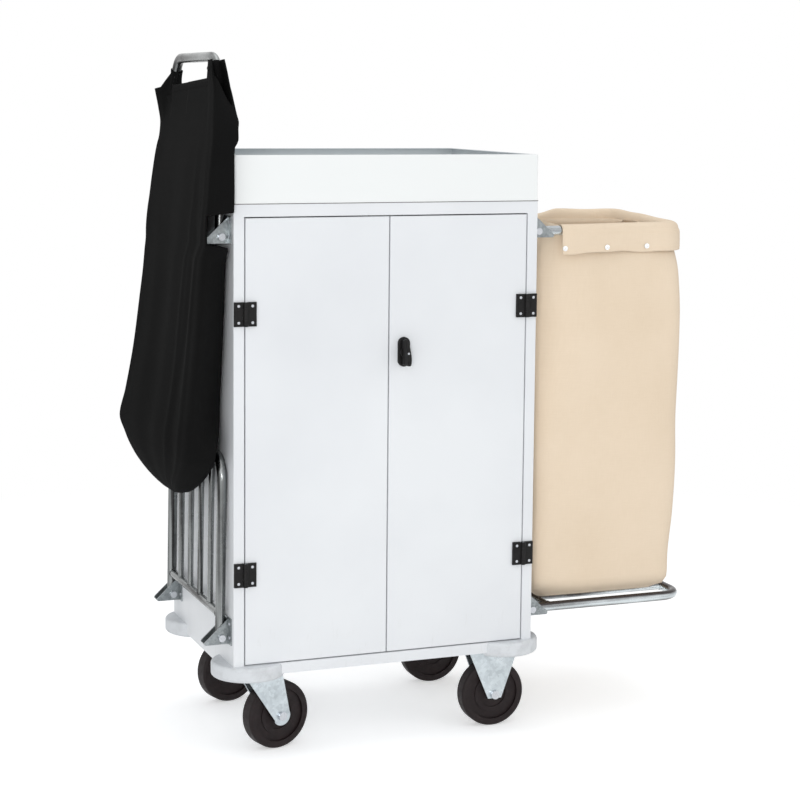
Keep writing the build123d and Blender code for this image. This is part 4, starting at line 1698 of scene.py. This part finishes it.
    def level(self, height: float, row: np.ndarray) -> np.ndarray:
        """Draws one level of the body with its folds and its lifted places.

        Args:
            height: The level's height.
            row: The level's values.

        Returns:
            The level's points.
        """
        loop = self.loop(row)
        heights = np.full(len(loop), height)
        outward, length = outward_ways(loop)
        loop = loop + outward * self.folds(heights, np.cumsum(length) / 2)[:, None]
        top = self.pivot_height + self.top_rise
        lift = self.rim_lift * soft_step(*self.rim_lift_reach, loop[:, 0])
        lift = lift * soft_step(self.pivot_height - self.rim_lift_depth, top, heights)
        low = soft_step(self.bottom + self.low_height, self.bottom, heights)
        near = self.near_lift * soft_step(*self.near_lift_reach, loop[:, 0]) * low
        front = self.front_lift * soft_step(*self.front_lift_reach, loop[:, 1]) * low ** 2
        return np.column_stack([loop, height + lift + (near + front)])

    def floor(self, rim: np.ndarray) -> list[np.ndarray]:
        """Draws the rings of the floor, which sags between the platform's bars.

        Args:
            rim: The body's lowest level.

        Returns:
            The rings, from the rim to the middle.
        """
        centre = rim[:, :2].mean(axis=0)
        rings = []
        for share in np.linspace(*self.floor_shares, self.floor_rings):
            ring = centre + (rim[:, :2] - centre) * share
            hang = 0.5 + 0.5 * np.cos(2 * math.pi * ring[:, 1] / self.bar_pitch)
            flat = soft_step(*self.floor_turn, np.full(len(ring), share))
            drop = flat * (self.floor_sag * hang + (rim[:, 2] - self.bottom))
            rings.append(np.column_stack([ring, rim[:, 2] - self.floor_step - drop]))
        return rings

    def body(self, finish: bpy.types.Material) -> bpy.types.Object:
        """Lofts the sagging body and its floor.

        Args:
            finish: The bag's cloth.

        Returns:
            The body.
        """
        top = self.pivot_height + self.top_rise
        fall = (1 - np.linspace(0, 1, self.rows)) ** self.row_crowding
        heights = self.bottom + (top - self.bottom) * fall
        rows = along_rows(self.body_rows(), heights)
        grid = [self.level(height, row) for height, row in zip(heights, rows)]
        points = self.place(np.array(grid + self.floor(grid[-1])))
        return Cloth(points, closed=True, capped=True).piece("bag_right_body", finish, self.cloth * MM)

    def hem_profile(self, share: np.ndarray) -> list[tuple[np.ndarray, np.ndarray]]:
        """Draws the hem across the tube: up the inside, over the top and down the outside.

        Args:
            share: Places along the hem.

        Returns:
            For each row, how far it lies outside the tube's centre line and above it.
        """
        slack = self.slack_rise + self.slack_wave.at(share)
        loose = self.hem_rise + soft_band(self.slack_span, share) * slack
        drop = self.hem_drop + sum(wave.at(share) for wave in self.hem_drop_waves)
        inner = self.inner_low + self.slit_rise * soft_band(self.slit_span, share)
        away = self.loose_out * soft_band(self.loose_span, share)
        still = np.zeros(len(share))
        rows = []
        for t in np.linspace(0, 1, self.inner_points, endpoint=False):
            rows.append((still + self.inner_out + self.inner_lean * t, inner * (1 - t)))
        for angle in np.linspace(math.pi, 0, self.hem_turn_points):
            out = self.hem_out + (away * self.loose_share if angle < self.loose_angle else still)
            rows.append((out * math.cos(angle), loose * math.sin(angle)))
        for t in np.linspace(0, 1, self.hem_turn_points)[1:]:
            flare = t * self.flare_wave.at(share, t) + self.flare_lean * t
            out = self.hem_out + flare * t + away * min(1, self.loose_share + self.loose_growth * t)
            rows.append((out, -drop * t))
        return rows

    def hem(self, finishes: Finishes) -> bpy.types.Object:
        """Sweeps the turned-over hem along the frame, loose at the rear and open at a slit, and trims it.

        Args:
            finishes: The cart's materials.

        Returns:
            The hem.
        """
        flat = self.line.points(self.hem_start)
        outward = side_ways(flat)
        line = flat + np.array([self.pivot_offset, 0])
        profile = self.hem_profile(np.linspace(0, 1, len(line)))
        rows = [np.column_stack([line + outward * out[:, None], self.pivot_height + up])
                for out, up in profile]
        points = self.place(np.array(rows))
        seams = StitchPattern()
        for name, row in self.stitch_rows:
            seams.bake(f"bag_right_{name}_stitches", points[row], finishes.beige, "bag_beige", "frame_right",
                       line=True)
        self.snap_caps(finishes)
        inside = Vector(self.place(np.array(self.core)))
        return Cloth(points, closed=False).piece("bag_right_hem", finishes.beige, self.hem_cloth * MM, inside)

    def snap_caps(self, finishes: Finishes) -> None:
        """Sets a bright cap on each of the CAD snap studs.

        Args:
            finishes: The cart's materials.
        """
        places, ways = [], []
        heads = np.array([corner.co for corner in frame["nodes"]["snap_studs"].data.vertices])
        while len(heads):
            near = np.linalg.norm(heads - heads[0], axis=1) < self.stud_size * MM
            stud, heads = heads[near], heads[~near]
            middle = (stud.min(axis=0) + stud.max(axis=0)) / 2
            way = -1.0 if middle[1] < self.plan.middle.y else 1.0
            places.append([middle[0], stud[:, 1].min() if way < 0 else stud[:, 1].max(), middle[2]])
            ways.append([0.0, way, 0.0])
        ScrewPattern(HeadShape.ROUND).bake("snap_caps", np.array(places), finishes.snap, "bolt_steel",
                                           "frame_right", np.array(ways), Radius=5.6, Height=2.0)

    def build(self, finishes: Finishes) -> None:
        """Makes the bag and ties it to the right frame.

        Args:
            finishes: The cart's materials.
        """
        body = self.body(finishes.beige)
        hem = self.hem(finishes)
        for piece in (body, hem):
            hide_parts("bag_right")
        anchor = self.place(np.array([self.pivot_offset, 0, self.pivot_height]))
        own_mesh(body)
        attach(body, "frame_right")
        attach(hem, "frame_right")


@dataclass(frozen=True)
class Crease:
    """A long crease: its place over the outer side at the straps and at the toe, its width and its rise."""

    start: float
    end: float
    width: float
    rise: float


@dataclass
class FoldedBag(HungBag):
    """The black bag that hangs over the outside of the folded left frame, in millimetres.

    Edges are lists of a place from front to rear and the height over the top level there.
    """

    fold_lean: float = 0.01688
    top: float = 1345.0
    bottom: float = 512.0
    rear: float = 200.0
    rows: int = 120
    side_points: tuple[int, ...] = (18, 70, 14, 10, 60)
    side_rounding: float = 24.0
    strap_edge: tuple[Range, ...] = ((-186, 22), (-178, 50), (-148, 48), (-141, 13), (112, 0), (130, 2),
                                     (138, 30), (164, 32), (180, -4), (200, -8))
    wrap_edge: tuple[Range, ...] = ((-256, -78), (-240, -70), (-214, -30), (-196, 10), (-186, 22))
    inner_edge: Range = (-150, -22)
    edge_depth: float = 110.0
    strap_lift: float = 32.0
    strap_pull: Range = (15.0, -5.0)
    creases: tuple[Crease, ...] = (
        Crease(0.04, 0.06, 0.024, 2.2), Crease(0.10, 0.14, 0.034, -2.2), Crease(0.18, 0.23, 0.022, 1.5),
        Crease(0.33, 0.38, 0.070, 1.4), Crease(0.52, 0.49, 0.080, -1.6), Crease(0.72, 0.64, 0.070, 1.5),
    )
    crease_spread: Range = (0.7, 0.6)
    crease_drift: Wave = Wave(0.012, 1 / 70, 40.0)
    slack_fall: Range = (0.02, 0.55)
    toe_fall: Range = (1.0, 0.82)
    toe_slack: float = 0.3
    waves: tuple[Wave, ...] = (Wave(0.9, 1 / 97, 4.0), Wave(0.4, 1 / 37, 11.0))
    outer_span: Span = (-0.3, -0.05, 0.97, 1.25)
    trim_row: int = 2
    trim_margin: int = 2
    snap_shares: Range = (0.06, 0.72)
    snap_seat: float = 0.6
    sleeve_cloth: float = 1.4
    sleeve_radius: float = 12.4
    sleeve_points: int = 20
    sleeve_ripple: Wave = Wave(0.5, 0.55, 2.0)
    sleeve_sag: Wave = Wave(0.4, 3.0)
    front_sleeve_top: float = 337.0
    rear_sleeve_top: float = 327.0

    @property
    def outer_start(self) -> int:
        """The first point on the outer side, after the front corners and the side between them."""
        return 2 * CORNER_POINTS + self.side_points[0]

    @property
    def outer_count(self) -> int:
        """The points on the outer side, up to the end of its rear corner."""
        return self.side_points[1] + self.side_points[2] + 2 * CORNER_POINTS

    def body_rows(self) -> list[tuple[float, ...]]:
        """Lists the body's levels.

        The corners are the front inner and front outer one, one on the outer side near the rear leg, and the
        rear outer and rear inner one.

        Returns:
            Each level's height, its five corners, and the rounding at the front inner, front outer and rear.
        """
        rear = self.rear
        return [
            (self.bottom, -372, -30, -384, -26, -388, -6, -388, 4, -372, 6, 6, 6, 6),
            (519, -366, -62, -392, -52, -399, 20, -399, 40, -366, 44, 12, 14, 12),
            (545, -358, -122, -404, -106, -420, 70, -421, 102, -358, 108, 18, 22, 18),
            (575, -355, -174, -408, -158, -435, 95, -437, 146, -355, 154, 20, 26, 20),
            (610, -353, -214, -411, -198, -444, 120, -448, 180, -353, 188, 20, 30, 20),
            (645, -345, -202, -410, -216, -446, 130, -454, rear, -353, rear, 16, 40, 10),
            (700, -332, -169, -406, -226, -437, 130, -443, rear, -353, rear, 16, 40, 14),
            (815, -332, -184, -399, -240, -416, 130, -421, rear, -353, rear, 14, 40, 16),
            (920, -332, -198, -394, -248, -402, 130, -407, rear, -353, rear, 13, 40, 17),
            (960, -332, -202, -392, -250, -398, 130, -402, rear, -353, rear, 12, 40, 18),
            (1000, -333, -211, -390, -252, -394, 130, -398, rear, -353, rear, 12, 40, 18),
            (1030, -335, -238, -388, -252, -391, 130, -395, rear, -353, rear, 12, 18, 18),
            (1036, -380, -240, -388, -250, -391, 130, -395, rear, -353, rear, 5, 5, 18),
            (1093, -379, -238, -385, -246, -386, 130, -390, rear, -353, rear, 5, 5, 16),
            (1099, -330, -260, -383, -246, -385, 130, -389, rear, -353, rear, 10, 10, 16),
            (1160, -329, -259, -376, -242, -377, 140, -380, rear, -353, rear, 10, 10, 12),
            (1205, -329, -258, -371, -238, -368, 145, -372, rear, -353, rear, 10, 10, 8),
            (1225, -328, -258, -368, -234, -364, 148, -367, rear, -353, rear, 8, 8, 6),
            (1238, -321, -258, -366, -232, -361, 149, -363, rear, -353, rear, 8, 8, 5),
            (1270, -320, -256, -362, -226, -357, 152, -360, rear, -353, rear, 10, 10, 4),
            (1300, -317, -248, -357, -216, -355, 155, -364, rear, -353, rear, 10, 10, 4),
            (self.top, -323, -224, -353, -188, -352, 160, -372, rear, -354, rear, 8, 8, 3),
        ]

    def loop(self, row: np.ndarray) -> np.ndarray:
        """Draws one level outline of the body.

        Args:
            row: The level's values, without its height.

        Returns:
            The outline's points.
        """
        corners, (front, outer, rear) = row[:-3].reshape(-1, 2), row[-3:]
        return soft_loop(corners, (front, outer, self.side_rounding, rear, rear), self.side_points)

    def lift(self, loop: np.ndarray) -> np.ndarray:
        """Gives how far the top edge stands over its level, up at the straps and down at the wrap's front.

        Args:
            loop: The top level's outline.

        Returns:
            The height at each point.
        """
        y = loop[:, 1]
        straps = np.interp(y, *zip(*self.strap_edge))
        wrap = np.interp(y, *zip(*self.wrap_edge))
        start, height = self.inner_edge
        inner = np.arange(len(y)) >= len(y) - CORNER_POINTS - self.side_points[-1]
        return np.where(y < self.strap_edge[0][0], wrap, np.where(inner & (y > start), height, straps))

    def folds(self, height: float, across: np.ndarray) -> np.ndarray:
        """Gives how far the cloth stands out in its creases, on the outer side alone.

        Args:
            height: The height of the level.
            across: Each point's share of the way over the outer side, from the front to the rear.

        Returns:
            The distance outwards.
        """
        fall = np.array((self.top - height) / (self.top - self.bottom))
        toe = self.toe_slack + (1 - self.toe_slack) * soft_step(*self.toe_fall, fall)
        slack = soft_step(*self.slack_fall, fall) * toe
        narrow, gain = self.crease_spread
        stand = np.zeros(len(across))
        for crease in self.creases:
            middle = crease.start + (crease.end - crease.start) * fall
            off = across - middle - self.crease_drift.at(height, crease.start)
            stand += crease.rise * np.exp(-((off / (crease.width * (narrow + gain * fall))) ** 2))
        stand += sum(wave.at(height, across) for wave in self.waves)
        return soft_band(self.outer_span, across) * slack * stand

    def body(self, finishes: Finishes) -> bpy.types.Object:
        """Lofts the hanging body, from the straps to the toe.

        Args:
            finishes: The cart's materials.

        Returns:
            The body.
        """
        heights = self.top + (self.bottom - self.top) * np.linspace(0, 1, self.rows)
        rows = along_rows(self.body_rows(), heights)
        lift = self.lift(self.loop(rows[0]))
        across = (np.arange(len(lift)) - self.outer_start) / self.outer_count
        grid = []
        for height, row in zip(heights, rows):
            loop = self.loop(row)
            loop = loop + outward_ways(loop)[0] * self.folds(height, across)[:, None]
            rise = soft_step(self.top - self.edge_depth, self.top, np.full(len(loop), height))
            pull = np.clip(lift / self.strap_lift, 0, 1) * rise ** 2 * (loop[:, 1] > 0)
            loop = loop + pull[:, None] * np.array(self.strap_pull)
            grid.append(np.column_stack([loop, height + lift * rise]))
        points = self.place(np.array(grid))
        self.trim(points[self.trim_row], finishes)
        return Cloth(points, closed=True, capped=True).piece("bag_left_body", finishes.dark, self.cloth * MM)

    def trim(self, row: np.ndarray, finishes: Finishes) -> None:
        """Sews the rim and sets the two snaps on the outer side, below the straps.

        Args:
            row: The points of the row that is sewn.
            finishes: The cart's materials.
        """
        outer = row[self.outer_start:self.outer_start + self.outer_count]
        rim = outer[self.trim_margin:-self.trim_margin]
        StitchPattern().bake("bag_left_rim_stitches", rim, finishes.dark, "bag_black", "frame_left",
                             line=True)
        snaps = [outer[round(share * self.outer_count)] for share in self.snap_shares]
        places = np.array(snaps) + np.array(TO_LEFT) * self.snap_seat * MM
        heads = ScrewPattern(HeadShape.ROUND)
        heads.bake("bag_left_snaps", places, finishes.black, "hinge_black", "frame_left", TO_LEFT,
                   Radius=4.6, Height=2.2)

    def folded(self, flat: np.ndarray) -> np.ndarray:
        """Turns points of the flat frame up against the cart.

        Args:
            flat: The points' distance out and across, and off the frame's plane.

        Returns:
            The points from the bag's origin.
        """
        out, across, off = flat.T
        side = self.plan.left / MM - self.plan.middle.x / MM - self.pivot_offset
        return np.column_stack([side + out * self.fold_lean - off, across, self.pivot_height + out])

    def sleeves(self, finish: bpy.types.Material) -> list[bpy.types.Object]:
        """Sweeps the hem's sleeves up the front leg and its bend, and up the rear leg.

        Args:
            finish: The bag's cloth.

        Returns:
            The front and the rear sleeve.
        """
        line = self.line.points(self.hem_start)
        aside = side_ways(line)
        front = line[:, 1] < 0
        pieces = []
        for end, covered in ((RowEnd.FRONT, front & (line[:, 0] < self.front_sleeve_top)),
                             (RowEnd.REAR, ~front & (line[:, 0] < self.rear_sleeve_top))):
            span = np.flatnonzero(covered)
            rings = []
            for turn in np.linspace(0, 2 * math.pi, self.sleeve_points, endpoint=False):
                radius = self.sleeve_radius + self.sleeve_ripple.at(span, turn) + self.sleeve_sag.at(turn)
                flat = line[span] + aside[span] * (radius * math.cos(turn))[:, None]
                rings.append(self.folded(np.column_stack([flat, radius * math.sin(turn)])))
            points = self.place(np.array(rings)).transpose(1, 0, 2)
            inside = Vector(points[len(points) // 2].mean(axis=0))
            sleeve, name = Cloth(points, closed=True), f"bag_left_sleeve_{end.value}"
            pieces.append(sleeve.piece(name, finish, self.sleeve_cloth * MM, inside))
        return pieces

    def build(self, finishes: Finishes) -> None:
        """Makes the bag and hangs it between the cart and the left frame.

        Args:
            finishes: The cart's materials.
        """
        body = self.body(finishes)
        sleeves = self.sleeves(finishes.dark)
        for piece in (body, *sleeves):
            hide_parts("bag_left")
        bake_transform(body)
        for sleeve in sleeves:
            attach(sleeve, "frame_left")


def main() -> None:
    """Builds the studio and dresses the cart, one sub-assembly at a time."""
    logging.basicConfig(level=logging.INFO, format="%(name)s: %(message)s")
    bpy.context.scene.view_settings.view_transform = "Standard"
    plan = CartPlan()
    finishes = Finishes(plan)
    Studio(plan).build(finishes)
    dress_nodes(finishes)
    Fittings(plan).build(finishes)
    LatchGrip().build(finishes)
    OpenBag(plan).build(finishes)
    FoldedBag(plan).build(finishes)


if __name__ == "__main__":
    main()
